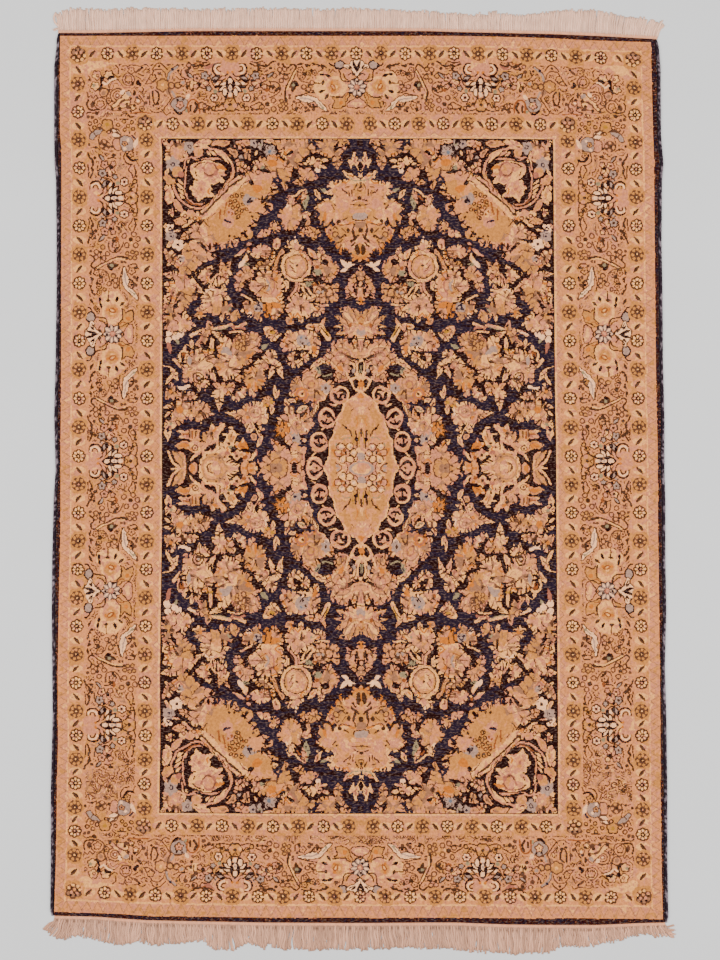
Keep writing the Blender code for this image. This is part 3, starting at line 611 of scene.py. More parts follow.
FIELD_LOWER = """
mass peach 168 388 174 383 178 388 180 398 172 400 167 396; dot gold 4 173 393; dot orange 1.6 172 392; leaf
pink 3.4 177 392 172 383; line ivory 3.6 178 387.6 184 388.6 190 386.6; line dark 1 180 390 186 390.4; mass
pink 180 393 186 391 193 392 200 395.6 195 400 184 401 179 398; dot peach 3 194 396; dot brown 1.8 183.4
398.4; line brown 1.4 176.6 391 179 394; leaf gold 4 167 399 170 391; leaf pink 3.6 173 405 165 409; leaf
pink 3 171 412.6 165.6 416.6; mass cream 172 404 179 401 188 402 190 412 188 420 180 418 173 416; mass gold
177 404 184 404 186 409 183 415 177 413; mass peach 177 417 184 417 184 424 178 426; leaf tan 2.6 179.6 417
180.6 425; mass cream 189 402 196 404 195 410 190 410, 168 421 174 417 179 421 177 428 171 430 168 425; dot
sage 1.6 172 425; leaf cream 4 171.6 431 168 442; mass gold 190 410 196 402 206 403 211 408 210 418 202 420
197 422 191 416; mass peach 202 406 210 407 210 416 203 418; dot cream 3.6 200.6 404.4; dot brown 1.3 191.6
411.4 200.6 413; leaf pink 4 208 413.6 215.4 415; leaf cream 4 192 415 192 422; leaf cream 3.6 201 418 201.6
424; leaf cream 9 221 388 220.4 411; leaf cream 5 219 391 212.6 397; leaf pink 4 228 390 232 396; line tan 1
220.6 392 220.4 404; dot cream 4.4 237.6 397.6; dot cream 5 242.4 394; dot ivory 2 241 395; dot gold 1.6 240
396; mass pink 242 409 248 404 264 403 268 410 270 416 266 424 258 429 248 428 241 420 233 416 226 412 236
411; mass cream 250 403 263 403 264 408 252 408; dot peach 6 256 413; dot brown 1.4 242.4 417; dot rose 1
246.4 414; mass ivory 264 408 269 413 266 417; dot gold 2.4 237.6 416.6; line brown 1 226 416 232 416; dot
cream 3.4 250.6 430 262.6 431.4; line pink 2 252.6 421 256 428 261 437; line dark 1.4 254.6 423 257.6 429
260 434; dot dark 1.9 243 425 258 426.4; line dark 1.6 249.6 425 246.6 431; dot gold 3.2 254.6 437; leaf
pink 4.6 263.6 436 257.6 448; leaf ochre 9 264 399 275 408; mass gold 262 400 270 397 276 401 274 409 267
405; dot ochre 2.2 273 402.6; leaf pink 5 273 405 273.6 415; leaf pink 3.6 276.6 398 275.6 384; leaf pink
3.4 276 398 281 390; leaf cream 7 290.6 417 286 398.6; line rust 1.3 287 402 290.6 413; leaf cream 5 298 412
308.6 407; line sage 1.2 299 412 306 409; mass peach 279 419 286 414 300 414 309 420 311 430 303 438 292 437
282 430; dot pink 4 303.6 421.6; line cream 2.4 279 418 285 421; line umber 1.1 281 417 286 422; mass gold
304 416 309 409 311 418 309 424 305 422; line brown 1.6 304.6 414 308 410; dot dark 1.8 303.6 414.6; leaf
pink 4.4 308 423 316 425.6; leaf ivory 3 303 428 309.6 432; dot pink 3.4 293.6 394; dot dark 1.2 295.6 395;
dot gold 3.4 306.6 401; leaf cream 4.4 297 402 289.6 400; oval navy 295 404.6 3 2.6; mass gold 308 389 320
389 326 396 318 402 308 400; leaf peach 7 315.6 399 315.4 414; leaf orange 3 315.4 400 315 410; line cream
2.2 313 412 312.6 418 310 424; line cream 1.8 318 401 318.6 408 316 414; bloom orange 284.4 430 7.6 7 .35;
leaf gold 6 285 428 279 419; mass peach 282 432 290 433 287 439; dot brown .9 286 425.6; line umber 1 288
428 288.6 424; bloom grey 295 440 9.6 7 .28; mass pink 286 437 292 434 293 445 287 444; dot pink 4 296 446;
dot navy 1.9 295 438.6; mass dark 301 437 305.6 435 308 437 304 440; oval dark 288.4 446.6 2 1.6, 303 445
2.4 1.8; leaf pink 4.4 301 441 308 440.6; leaf peach 7.6 281 449 271 440; line brown 1 273 441 278 446; line
dark 1.8 270 447.6 276 450 281 455; bloom peach 280 467 19 15 .12; mass peach 290 452 306 447 308 456 304
466 306 476 300 490 292 492; bloom peach 282 456 10 9 .15; dot gold 8 280 467; ring umber 280 467 8.6 1.1;
line umber 1.1 284.6 459 288 462 286 466 288.6 470 286 474 287.6 478; dot gold 2 286 466; dot tan 4 279 468;
leaf dark 5.4 295 462.6 295 474; bloom cream 295.6 455 5.6 6 .35; dot umber .8 292.6 457.6 298.6 457.6 292
453 299 453 295.6 451; dot umber .9 292.6 477 296.6 476.6; leaf cream 3 301 452 307 446.6; leaf gold 4.4 188
433 177.6 432; leaf sage 5 213.4 431 212.6 423; leaf peach 5 218 430 224 423; leaf cream 3 180 446 175.6
445; bloom cream 231.4 438 10.4 5 .28 54; mass gold 202 456 210 450 222 452 232 452 248 454 256 458 262 466
258 480 240 484 222 486 204 480 200 468; leaf rose 3.4 256 457 257.6 450;
"""
FIELD_ROSES = """
bloom grey 168.4 236 5.2 5 .4; dot navy 1.4 168.4 236; bloom ivory 176.4 245.2 6 5 .4; dot navy 1.5 176.6
244.8; dot gold 7.8 188.4 249.8; ring cream 188.4 249.8 7 1.4; dot pink 7 171.6 293.6; ring cream 171.6
293.6 6.2 1.4; ring rose 171.6 293.6 2.6 1.2; dot brown 1 171.6 293.6; mass cream 203 291 208 286 211 279
214 275.6 215.4 284 218 280 222.6 282.4 223.4 288 226 292 224.6 299 218 301 214 305.6 206 304 201 299; line
dark 1.5 212 286 213.2 279.4, 216.6 288.6 216.2 283; ring brown 220 287.6 2.6 1.3; dot tan 1 220 287.6; line
ivory 2 204 292.6 208 289.4 213 290.4; mass gold 210 304 216 300 222 302 230.6 304 228 310 224 313 222.6 318
217.6 314.6 210.4 313.6 207 309; line tan 1.2 213 305 219 307.6 226 306.6, 217 302 216 312; bloom gold 200
313 5 6 .25; dot orange 1.8 200.4 313; ring cream 294.8 266.6 13.9 2.9; ring brown 294.8 266.6 11.9 1; ring
gold 294.8 266.6 10.5 1.9; dot pink 9.6 294.8 266.6; line umber 1.3 288.4 260.8 291.6 264.6, 287.8 265.6
291.4 269.2; line umber 1.2 290.2 270.8 294 272.6; dot brown 1.3 295.4 266; line gold 1.8 291 258.6 298.4
258.4; line peach 1.6 298 263 302 267 300.6 272; dot grey 1.6 317.4 292.6 321.6 292.2; dot brown 1.1 319.6
294 316 289.6 323 289.8 320.6 298; ring umber 319.6 292.6 5.6 1.1; line cream 1.4 314 287.6 319.6 285.6
325.4 288; mass navy 340 276 350 267 367 264 367 308 346 307 341 296; mass peach 358.9 266 355.4 272 350.2
276.4 346.6 280.6 346.4 285 343.8 290.4 345.6 295 344.2 300 349 297.6 352.4 297 356 303.4 358.9 306 367 306
367 266; mass gold 352 277 357 273 367 273 367 280 355 282; line dark 3 354.6 278.6 356.2 282.4 356.2 286.8;
line dark 2.3 353 286.6 353.8 290.8; line brown 2.4 356 289.6 355.2 295.4; line pink 1.7 358.9 274 358.9
291; line umber 1.3 347.6 288.4 350.6 292; leaf orange 4 358.9 297 358.9 306; line dark 2.6 352.2 297.4
354.2 301.4 354.6 305.4; dot pink 2.2 348.4 293.4; dot grey 4.6 228 354.6 224.6 351; dot cream 4.4 229.4 359
224 357; line gold 2.4 216 362 222 366 230 368 238 366; line orange 2 217.6 367 221 370; line orange 2.2 246
361 250 357 252.6 352.6; dot gold 3 219 348 237 352; dot cream 6.6 199.6 378; ring brown 199.6 378 5.3 1.5,
199.6 378 2.5 1.4; dot grey 1.2 199.6 378; ring umber 239.4 337.6 2.4 1.2, 246 336.4 2.2 1.2, 237.4 343 2.2
1.2, 243.6 348.4 2.2 1.2, 248 343.6 2.2 1.2; bloom gold 255.6 378.6 12 11 .16; line brown 1.7 244 372 248.6
374.6 252.4 373; line brown 1.6 250 379.6 254.4 376.8; line brown 1.5 257.6 372 256.6 376.6; line cream 1.6
253 375.4 258 379.6 256.6 384.6; leaf orange 3 258 380 266.6 382 256 382 258 390.6 252 383 248 389; mass
dark 234 381.6 240.4 385 242.4 379.6 246.6 384.6 245.6 387.6 238.6 386.6; dot orange 3.6 181 410.6; ring
cream 181 410.6 6.2 2.2; ring gold 181 410.6 8.4 1.6; dot brown 1 196.4 408.6 203.6 409; ring peach 200.4
411.6 6.6 2; ring tan 200.4 411.6 4.6 .9; ring cream 256 411.6 8.4 2.4; ring rose 256 411.6 5.8 1.2; dot
pink 5 256 411.6; ring tan 256.6 411.6 2.4 1; dot orange 1.5 248.6 418 246 410; bloom peach 311.8 384.4 12.6
13 .16; ring cream 311.8 384.4 9.2 1.7; ring tan 311.8 384.4 7.5 1; ring pink 311.8 384.4 5.6 2.4; ring rose
311.8 384.4 3.6 1.2; bloom grey 326.6 388.6 5.6 6 .3; dot brown 1.6 326.2 388.8; bloom orange 302.4 394.8
7.4 8 .2; ring rose 302.4 394.8 4.6 1.7; dot cream 2.7 302.4 394.8; dot brown 1.2 303 394.4; leaf pink 3.4
322 397 332 401.6; leaf cream/umber 3.6 317.6 401 313.8 417; bloom cream 297.6 425.6 9.6 12 .2; ring tan
297.6 425.6 5.6 1; dot peach 4.6 297.6 425.6; ring rose 297 424.6 2.2 1.1; leaf cream/umber 3.8 290 417
285.6 403.6 293.6 415 292 407; leaf orange/brown 2.6 282.4 430 274 430.6 282.4 430 276.6 424.6 282.4 430 277
437 282.4 430 283.6 421.6 282.4 430 284.6 438.6; dot gold 2.2 282.4 430; ring cream 341.6 357.4 11 1.8; ring
tan 341.6 357.4 9.4 1; ring peach 341.6 357.4 7.6 2.6; ring rose 341.6 357.4 5.4 1.1; dot pink 4.6 341.6
357.4; dot cream 2 341.6 357; leaf orange 4.4 338 366 343.6 372;
"""
FIELD_CARTOUCHE = """
mass dark 165 450 176 446.6 178.4 433 186 430.6 200 430 210 425 222 424 232 429 242 433.6 250 441 256 451
258 460 258 480 165 480; line pink 2.4 169.2 451.6 171.4 457 175.6 463.4 182 468.4; mass gold/brown 173.8
451.2 178.6 454 182.8 459.6 185 466 184.4 469 180.8 464 176.6 458.6 174.2 454.6; mass peach 179 452 183.6
453.8 186.4 459 187 467 185 466 183.4 459.6 180 455.4; line cream 2.2 185.6 461 186.2 466 186 471; line
brown 1.5 193.4 451.6 189.6 457.6 187.8 463.6 187.8 471; leaf pink 2.4 187 468.8 172 468.2; line cream 3.2
200 452.6 195.2 455.8 192 460.4; mass gold 177 446 181 442 187 441 192 443 196 440.4 201 442 203 448 201
452.4 195 453.4 190 450 185 449 181 449; oval orange 185 445.6 4.6 2.4; mass cream 190 444 196 441 201.6
443.4 201.6 451 195 453; ring umber 196.4 448.4 2.9 1.3; dot umber 1 196.4 448.4; line umber 1.2 189.6 443.6
190.4 448; leaf dark 3.4 181 451.4 188 453.4; leaf pink 3 179.4 431.4 189.6 433.6; leaf pink 3.4 180.6 436.8
191 435.4; mass peach 183 434.6 190 431 192 438 186 438.4; mass gold 191 430.4 199.4 430.4 200.6 438 203 441
193 441 191 436; line rust 1.3 193.8 431 193.6 439; line brown 1.3 196.8 431 197 438, 191 430 190.8 438;
line rust 1.2 184 434.4 190 434.8; oval dark 202.6 432.6 2.6 1.9; mass gold 203.6 437 205.6 432 210.6 430
212 425 216 428.8 222.4 424.6 226.8 426 225.4 430 221.6 432.4 220.4 438 217 441.4 210 441.4 206 441; mass
pink 217 431 221.4 427 225.4 427.2 221.6 432 220 439.6 215.8 440; oval orange 215.6 430.2 2.6 1.9; leaf
cream 4 213.8 430 213.4 423.4; leaf pink 3.8 219 429.6 227 424; oval brown 213.4 433.6 1.7 1.7; line brown
1.5 213.2 434 211.4 438.8; line brown 1.4 214.6 436 215 439.4; dot brown 1.2 208.6 437 207.2 433; mass pink
209 436 212 435 211 442 206.6 442.4; mass cream 222.6 434.6 229 433.6 230.6 430.4 235.4 430 236.8 433.4
242.4 434.6 237.4 436 236 441 233.6 446.4 228 447.4 225.2 442 228 437; mass gold 229.6 434.6 234.6 435.6
233.8 441.6 229.4 441; dot brown 1.6 229.4 443.6; oval dark 222 436.6 1.9 3.4; leaf sage 2.6 233.4 446 227
447.6; line umber 1.2 233.4 432 232.2 437; mass orange 236 443.6 241.4 442.8 244 438.6 246.4 443 249.2 449.4
241 449 236.6 447.4; dot pink 1.7 238 443.8 240 446.8; leaf cream 2.8 243.2 443.4 244.6 438.2; leaf rust 1.6
241 446 246 448; leaf brown 2.6 202.6 441.4 208.4 443.8; mass peach 202 443.4 211 442 219 440.6 220 452 210
453 203 455; mass cream 217.6 444 222.6 442.8 228 446 229.6 451 222 453 218 452; leaf dark 4.4 206 451.6
212.8 444.6; leaf dark 4.8 212.8 450.8 217.2 442; line brown 1.4 220.4 440 220.8 446 220.4 452; line umber
1.2 224.6 446.4 225.4 450.4; mass cream 200.2 480 199.8 464 202.6 457.4 207 452.6 213 451.4 218 449.8 221.6
451.4 227 453.6 229 459 232.6 462.6 237 464.8 241.4 468 242 480; oval gold 217 469 14.6 15.4; oval peach
215.6 469 11 12; oval cream 213.6 469 7.6 8.6; line umber 1.6 212.6 463.8 209.6 465.4 208.8 469.4; line gold
1.6 214.6 463.4 211.6 466 211.2 469; dot umber 1 216.4 454.8 220.4 458.2 208.4 455.4 203.6 459.4 201.6 465;
line tan 1.2 204 461.4 208.4 458.4 213 457.2 218 458.2 222.4 461.2, 219.6 463 221.6 466.4 221.8 469, 224.6
462.6 228.4 465.8; leaf cream 4 226 462.6 240.4 465.6; leaf peach 4 227 466.6 243 469.8; leaf cream 3.4 224
458.6 234.4 461.4; line dark 1.6 226.2 459 231 457.2, 228.6 461.8 234 459.6; line brown 1.5 232 463 238
461.6; line dark 1.5 234.2 465.4 240 464.8; oval dark 242 468.8 2.8 3.4; mass peach 190.2 471 190.6 466.4
192.4 463.6 195.2 462.6 198 466.4 198.6 471; oval orange 193.8 467.6 2.6 2.2; line brown 1.1 190.4 465.4
193.2 463.2; leaf dark 3.6 191 462.8 202.4 457.2; line dark 2.2 200.2 459 199.4 464 199.2 471; bloom pink
227.4 453.8 5.6 5 .3; dot rose 1.8 227 453; dot brown 1.1 225.6 456.8 231.4 456; bloom pink 238.2 455.2 5.6
6 .25; dot brown 1.6 238.4 455.8; dot rose 1.7 236 452.8; bloom peach 246.4 456.6 5.6 6 .25; dot rust 2.1
245.8 458; dot orange 1.6 247.4 454.2; leaf dark 4.4 230.6 451.2 239.4 447.6; leaf dark 4.2 251.6 451.6
240.6 450.8; leaf cream 4 249.8 461 258.2 451.6; leaf dark 2.2 250.4 459 253.6 452.6; oval dark 252.6 461.6
2 1.5; mass gold 243.4 464 247.4 461 251 463.8 256.6 462 255.8 467.6 257 471 243.6 471; dot orange 1.7 247.6
468.8 252 466.2; leaf cream 3 254.6 470 258.6 466; line rust 1.3 249.6 464 249 468; leaf dark 3.2 229.8
458.4 236 456.2; dot dark 1.4 242.6 459; leaf cream 2.8 232.6 452 235.6 457.4; leaf cream 5.4 166.6 429 171
416; leaf cream 3.4 167.2 430 168.4 441;
"""
FIELD_GOLD = """
mass dark 190 161 222 161 228 170 227 180 212 196 202 203 192 203 184 194 183 182 186 168; mass cream 190
166 196 163 204 161 214 162.6 220 166 222 172 218 176 220 180 214 184 206 186 196 180 190 176 188 170; bloom
rose 208.4 170 8.2 7 .12; dot pink 5.6 207.4 169.4; line umber 1.2 202 172.4 206 176 211 175, 212 164.6
215.4 170; leaf orange 4.4 214 166 224.4 169.6; leaf peach 3.6 216 173 224.4 176.4; leaf cream 4.4 216 180
223 183.6; bloom cream 198.6 188.6 11 8 .2; bloom pink 198.2 188.4 8 8 .16; dot peach 4.4 198.6 189; dot
rose 1.8 198.6 189; leaf cream 3.8 196 196 195.4 202.4 205 193 212.4 196.4; line brown 1.3 192 168 197 164.2
203 163, 193 172 194.6 176.6; leaf dark 3 214 188.6 208 184.6; mass gold 262 160 268 155 276 156 280 160 286
155 294 150 300 154 298 162 290 166 288 176 284.6 189 281 180 277 174 270 172 264 168, 276 143 286 141 298
142 300 152 290 154 284 152 278 152; oval orange 270 163 5 3.6; line umber 1.3 264 166 268 171 274 171, 281
165 286 168 290 167; bloom cream 285 154.8 5.6 5 .25; dot dark 1.7 288 154.4; mass gold 248 184 258 180 268
182 271 190 262 196 254 198 247 194; mass orange 250 186.4 257 185 261 189.4 254 193; mass gold 210 222 222
220 232 226 240 232 234 238 222 242 212 240 206 234 206 226, 180 251 188 244 196 244 202 250 204 258 198 264
190 274 182 276 178 268 184 260; leaf peach 6 200 256 213.4 257.4; bloom pink 180.8 260.6 5.2 5 .2; dot grey
3 181 259.4; dot navy 1.4 179.4 262; line umber 1.3 186 251 191 249.6 196 251.6; dot brown 2.1 230 197 235.4
195.4 240.6 194 228.4 203 233.4 201.6 231 208 236.2 206.6 241 204.4 234 213 239.2 211.8 244 210 236.6 217.4;
dot gold 1 230 197 235.4 195.4 240.6 194 228.4 203 233.4 201.6 231 208 236.2 206.6 241 204.4 234 213 239.2
211.8 244 210 236.6 217.4; line rust 1.8 224.4 203 223 209 221.2 215, 218 209.6 216.8 219; dot rust 1.4
226.6 212 230 214 246.4 204.6; bloom grey 247.6 200.4 4.8 5 .3; dot navy 1.4 247.4 200.6; bloom pink 226
222.6 6.4 6 .2; dot navy 1.6 224.6 221.4; dot brown 1.3 228 236.4 233 236.8 251 217; leaf dark 3.2 207.6
250.4 208.6 243.6; leaf dark 3.6 213.6 250.6 214.2 243; leaf dark 3.2 262 206.6 268.6 207.4; leaf dark 3 263
201.4 268.4 203.4; bloom cream 196 232 8.4 7 .16; dot pink 5.2 196 232; dot umber 1.2 196.8 232.8; leaf gold
5 188 233 178.4 236.4; leaf dark 3.2 278.5 183 269 181 277.5 190 268 190 276.5 197 266.5 196.5 274.5 204.5
264 201.5 269 212 261 207 262.5 218.5 256 212.5 257 225.5 250.5 219 252 232 246.5 225; leaf dark 3 246 238.5
242 230 239.5 244 236 235.5 232.5 248.5 229.5 240 225.5 251 223 243 218.5 252 216.5 244.5;
"""
FIELD_MEDALLION = """
mass dark 352 392 342 385 332 391 322 406 312 430 306 456 304 476 316 480 330 470 340 440 352 404; mass
cream 361.4 389 359 392 357.4 394.6 354 397.4 350 399.2 345.4 400.4 344 403 343.6 408 340.8 413 336.8 418.6
335.4 424 335 430 333.4 436 330.4 440 329.6 444 329 450 328 458 325.6 464 323 468.4 325.2 476 326.6 484 367
484 367 389; mass peach 361.4 391.4 358.8 395.6 355 398.8 350.8 400.7 346.8 402 345.6 404.2 345.2 408.8
342.3 414 338.4 419.6 337.1 424.6 336.6 430.8 335.1 436.8 331.9 441 331.1 445 330.5 450.8 329.5 458.8 327.1
465 325 468.6 326.8 476 328.2 484 367 484 367 391.4; mass orange 361.4 393 359 397.4 361.4 398.6 367 398 367
393; mass gold 348 402 356 401 367 401 367 406.6 356 407.4 348.6 406.6, 346.6 408 351 407 353 412 350.6 420
345 420 344 414; line cream 1.4 358 411 361.4 408 361.4 414; mass gold 355 417 361.4 415 367 417 367 427 356
426, 338.8 420.6 345 418 347.6 426 345 438 337 441 334.4 439 337 431, 350.4 429 356 427 367 427 367 447
354.6 446 350.8 440, 332 446.6 336.4 446 336.2 470 330.6 471 331 458; mass orange 333 449 336.6 450 336 457
333.4 455; line umber .9 353.6 408 352.2 410.8; line rose 1.2 349.6 403.6 351.4 406.8; line orange 1.2 356.6
417 358.4 422 356.4 427; line cream 1.4 361.4 420 361.4 427; line cream 2.2 331.4 404.4 335.6 405.2 341.8
401.4; line cream 1.6 322.4 429.8 326.4 427.6; line cream 1.8 313.4 455.4 316.4 452.8; oval peach 340.4
395.4 9.4 9, 327.2 418.4 8.8 10, 319.9 442 8.7 10.4, 314.9 467.6 8.6 11; line cream 2.2 333.2 392.4 336.4
389 341 387.4 346.4 389 349.2 393.6 348.8 398.4; line cream 2 320.4 416 322.4 412 325.8 409.8 329.8 410.6
333.4 414.4 335.2 418.4, 313 441 313.4 437.4 316 433.8 320.4 432.6 325 434.6, 308.4 464.6 310 460.4 314.6
458 318.8 459.4 321.6 463.4; line dark 4 335.7 394.4 336.1 398.4; line dark 3.3 336.2 399.2 338.8 400.4
341.8 400; line dark 3 340.8 390.7 343.6 390.5 345.4 392.4 345.4 398; line dark 2.8 340 398.6 341.4 395.4
344.8 394; line brown 1.5 337.6 392.2 340.4 390.6; line dark 3.4 323.9 414.8 326 413.3 329 413.9; dot dark
2.7 328.9 415.6; line dark 2.5 330.4 416.2 332.6 418 334.4 419.8; line dark 3.6 322.1 421.6 324.5 423.6 328
423.8; line dark 2.5 328 423.8 331.7 422; line dark 2.1 326.2 423 327.2 419.6; line dark 4.4 317.1 437.6
318.4 436.4 321.6 436.4 322.9 437.6; line dark 2.6 319.8 437 319.8 444; line dark 4.2 317.6 445.6 320 446.4
322.4 445.6; line dark 2.4 315.4 442.2 317 445.2, 322.6 446 325.7 443.8; line brown 1.3 325.2 437.8 327.8
440.6; line dark 3.6 311.2 465.2 312.4 463.1 315 462.1 317.8 463.7; line dark 2.6 318 463.7 320.4 465.9 323
467.6; dot brown 1.1 316.8 468.4; dot dark 1.4 346.8 428; line brown 1.6 343.6 424 346 427; line brown 1.8
348 429.6 350.4 431.4 351.6 436.4; line brown 2.3 355.6 431.4 356.4 437 357.4 441.6 357.5 447.8; dot dark
2.2 357 439.6; line brown 2.2 361.4 429.4 361.4 436; line ochre 1.2 359.4 432 359.6 447, 353.6 431 354 443;
line sage 1 343.4 439.4 346.4 437.6 350.6 437.8; line cream 1.2 342.6 437.4 346 435.6 349.6 436; dot
cream/brown 3.3 342.2 446.8 350.2 447; dot pink/brown 3.2 338.8 453.4; dot cream/brown 3.1 354 453.4; dot
cream/brown 3.2 343 460.2; dot pink/brown 3.2 350.4 459.6; dot ivory 1.7 342.2 446.4 350.2 446.6; dot ivory
1.5 354 453.6 343 460.6; dot grey .9 351 447.4 353.2 454.4 342.4 461.4 342 447.8; dot rust 1.6 345 451.2
341.8 454.8 344.4 455.4; dot dark 1.5 346.6 453.2; dot cream 1.2 348.6 453 345.4 457.2; dot brown .9 349.8
451.2; mass pink 356.8 449 361.4 448 367 449 367 453 357.6 452.6; dot grey 3.9 361.4 456.8; mass grey 349
467.8 354 463.4 361.4 461.8 367 461.8 367 474 361.4 474 354 472; mass pink 352.6 467.8 356 464.6 361.4 463.2
367 463.2 367 472.4 361.4 472.4 356 471; mass gold 357.6 465.6 361.4 464.8 367 464.8 367 470.8 357.6 470;
line brown 1.2 350 465 353.2 462.2 356.4 460.8 358 457, 336.8 463.6 340.6 466 342.2 468.6 340 472, 346.2
463.8 347.4 467 346.6 470; line brown 1.1 346.8 457 347.2 461.4; line cream 1.6 338 460.4 341 464 344.4
466.4; dot pink 1.7 344.6 468.8; dot grey 1.5 338.6 466.8; line sage 1.2 337 446.6 338.4 443.6;
"""
FIELD_TABLES = (FIELD_GROUND, FIELD_CORNER, FIELD_TOP, FIELD_UPPER, FIELD_LEFT, FIELD_MIDDLE,
                FIELD_INNER, FIELD_AXIS, FIELD_LOWER, FIELD_ROSES, FIELD_CARTOUCHE, FIELD_GOLD,
                FIELD_MEDALLION)

# Motifs of the borders, counted in squares and charted, each about its own place in the chart

# Palmette: what mirrors about its own row
PALMETTE_HALF = """
mass pink 88 190 100 189 106 198 100 199 88 199; dot orange 1.4 98.8 195.6; line brown 1.7 103.6 191.6 102
193.8 100.4 195; line dark 2.1 90.8 183.5 93 181.7 96.6 181 99.6 182 101.4 184; line grey 2.2 100.6 179.2
104.6 180.8; line ivory 2.1 91 187.6 92.2 184.9 95.4 183.4 98.6 184.6 100.2 187.6; line brown 1.5 93.4 187.8
93.8 185.9 95.8 185 97.6 186.6 98.4 189.2; line brown 1.3 90.2 188.8 90.4 185.2; leaf grey/brown 2.8 103.4
187 106.6 180.6; oval dark 102.6 186 1.5 2.6, 108 182.8 2.1 2.6; line dark 2 107.2 185 105.8 187.6; oval
ivory 110.7 185.2 1.6 2.2; oval dark 113.6 184.8 1.7 2.9; line brown 1.4 101 179.8 103 178 106.4 178.8 110
180 112.6 181.8; leaf pink/brown 2.6 103.8 193.6 106.2 187.4; leaf ivory/brown 2.8 109.6 194.2 111.6 187.6;
leaf ivory/dark 3 112.8 193.2 117.8 187.2; oval ivory/dark 118.8 192.7 3.7 1.9; oval dark 111.6 194.7 3.2
1.8; line dark 1.8 106.6 195 109 193.8; bloom brown 124.4 182 5 6 .1; bloom pink 124.4 182 3.7 6 .2; dot
ivory 1 122 180.6 124.5 179.4 126.8 180.7 126.7 183.4 124.3 184.6 122 183.4; dot dark 1.3 124.4 182; dot
sage 2 117.8 183.2; bloom brown 109.8 171.2 6.4 5 .3; bloom pink 109.8 171.2 5.1 5 .36; line brown 1.3 109.8
166 109.8 171, 106 174.6 109.8 171.2 114 173.6; oval cream 109.6 172.4 1.1 2.1; bloom brown 102.6 173 5.2 5
.3; bloom grey 102.6 173 3.9 5 .36; dot brown 1.3 102.6 173; bloom brown 105 164.8 4.9 5 .3; bloom pink 105
164.8 3.6 5 .36; dot brown 1.3 105 164.8; bloom brown 115.2 177 3.7 5 .3; bloom grey 115.2 177 2.3 5 .36;
bloom brown 113.4 164 3.6 5 .3; bloom pink 113.4 164 2.3 5 .36; dot dark 1.4 107.2 176.6 111.6 167.8; line
brown 1.5 98 166 97.6 170 99.4 174.6, 104 161 100.6 157.6; leaf grey/brown 2 104.6 160.6 99.8 155.6; leaf
brown 3.4 111.4 155.4 116.8 155.4; line brown 1.5 108 158.6 112 157.6 116 158.6, 131 165.6 129 170 131.6 174
133 178, 134.4 166 136 172 134.4 178; bloom brown 131.6 186 3.3 5 .3; bloom gold 131.6 186 2 5 .3; dot brown
2.6 134.8 181.6; dot gold 1.4 134.8 181.6; line brown 1.5 136.8 180 137.6 186 136.4 192; dot brown 1.3 132
185.6 136 171.6 136.6 176.6 130.4 189.8; line brown 2.2 88 153 89.4 157 92 160 93.2 164 91.4 168 92.8 172
90.4 178; line brown 1.5 88 165 89 172 88.6 177; dot brown 1.7 92.6 162 92.4 170 95 158; dot peach 1 90.6
166 90.8 173;
"""
PALMETTE = """
oval dark 107.8 198 4.8 3.5; oval ivory 107.9 198 3.3 2.1; oval dark 114.7 198 4.6 2.9; oval ivory 114.7 198
3.2 1.7; dot grey 1.1 114.7 198; line dark 2 116.6 195.6 120 195.2 123 194.8, 116.6 200.4 120 200.8 123
201.2; oval ivory 121.2 198 2.4 1.9; dot dark 1.3 103.6 198; dot grey 1.1 118.2 198; line brown 1.4 124
192.6 125 198 124 203.4; bloom brown 131.4 198 7.8 6 .12; bloom gold 131.4 198 6.2 6 .16; dot pink 2.2 132.8
193.8 132.8 202.2; line brown 1.2 126.6 196 128.8 198 126.6 200; dot brown 1.7 131.4 197.8;
"""
# Star between two golden flowers: what mirrors about its own row
STAR_HALF = """
mass cream 103 297 112 292 122 292 129 298 130 305 116 308 104 306, 108.6 308 113 303.6 122 303.4 127.4 308
128.4 314.4 125.6 321 117 323.8 110 320.6 107.6 314.4; oval cream 117.5 311.6 10.6 10.4; dot peach 7.6 117.5
311.4; dot gold 6 117.4 311.2; dot orange 1.6 121.6 309.4 113 309.4; dot cream 1.8 117.4 313.4; mass pink
103 323 110 321.6 116 325 110 330 103.6 330.6; line rust 1.6 115 309.4 116.6 308 119.4 309.4 120.8 312 118
312.4 115.6 311 114.8 309; leaf cream 1.6 115.6 309 119.4 311.6; mass grey/dark 92.6 314.4 95.4 312.8 98.2
314 99.4 317.4 97.8 320.6 94.4 321 92.4 318.4; line dark 1.8 92 307.4 94.6 307.4 96.4 309.8 97.8 312.8; line
dark 1.7 92 313.8 95.4 311.9 98.8 313.2 100.3 317.2 98.5 321.3 94.6 321.9 91.6 318.8 91.8 314.8; line brown
1.7 99.6 316.4 104 317.4 110 318.4 112.2 322 112.6 326; leaf gold 3 104.4 318.4 112 324.4; line brown 1.4
104.6 320.6 109 322.4 112 326.4, 106 325.6 104 328.6; mass gold/brown 128.4 309.8 131.6 312.8 137.6 310.6
138.2 317 135.4 322.2 130 323.8 125.8 326.4 123.8 324.4 127.8 319.6 128.4 314; dot orange 2.2 133.6 318.6;
line rust 1.1 124.8 324.6 127.6 322.2 130.6 322.6; line brown 1.5 132.6 311.6 138.4 309.6, 126.8 308 128 314
127.6 320; leaf brown 2.6 95.4 298.6 99 304.8; leaf dark 2.8 105 296.6 105.4 303.4; leaf dark 3 105.2 302.4
107.2 308.6; line brown 1.4 114 291.6 113.8 299.6; leaf brown 3 115.8 300.2 110.8 301; leaf dark 3 123.2
296.4 120.8 302.6; leaf brown 2.8 129.8 302 124.4 306;
"""
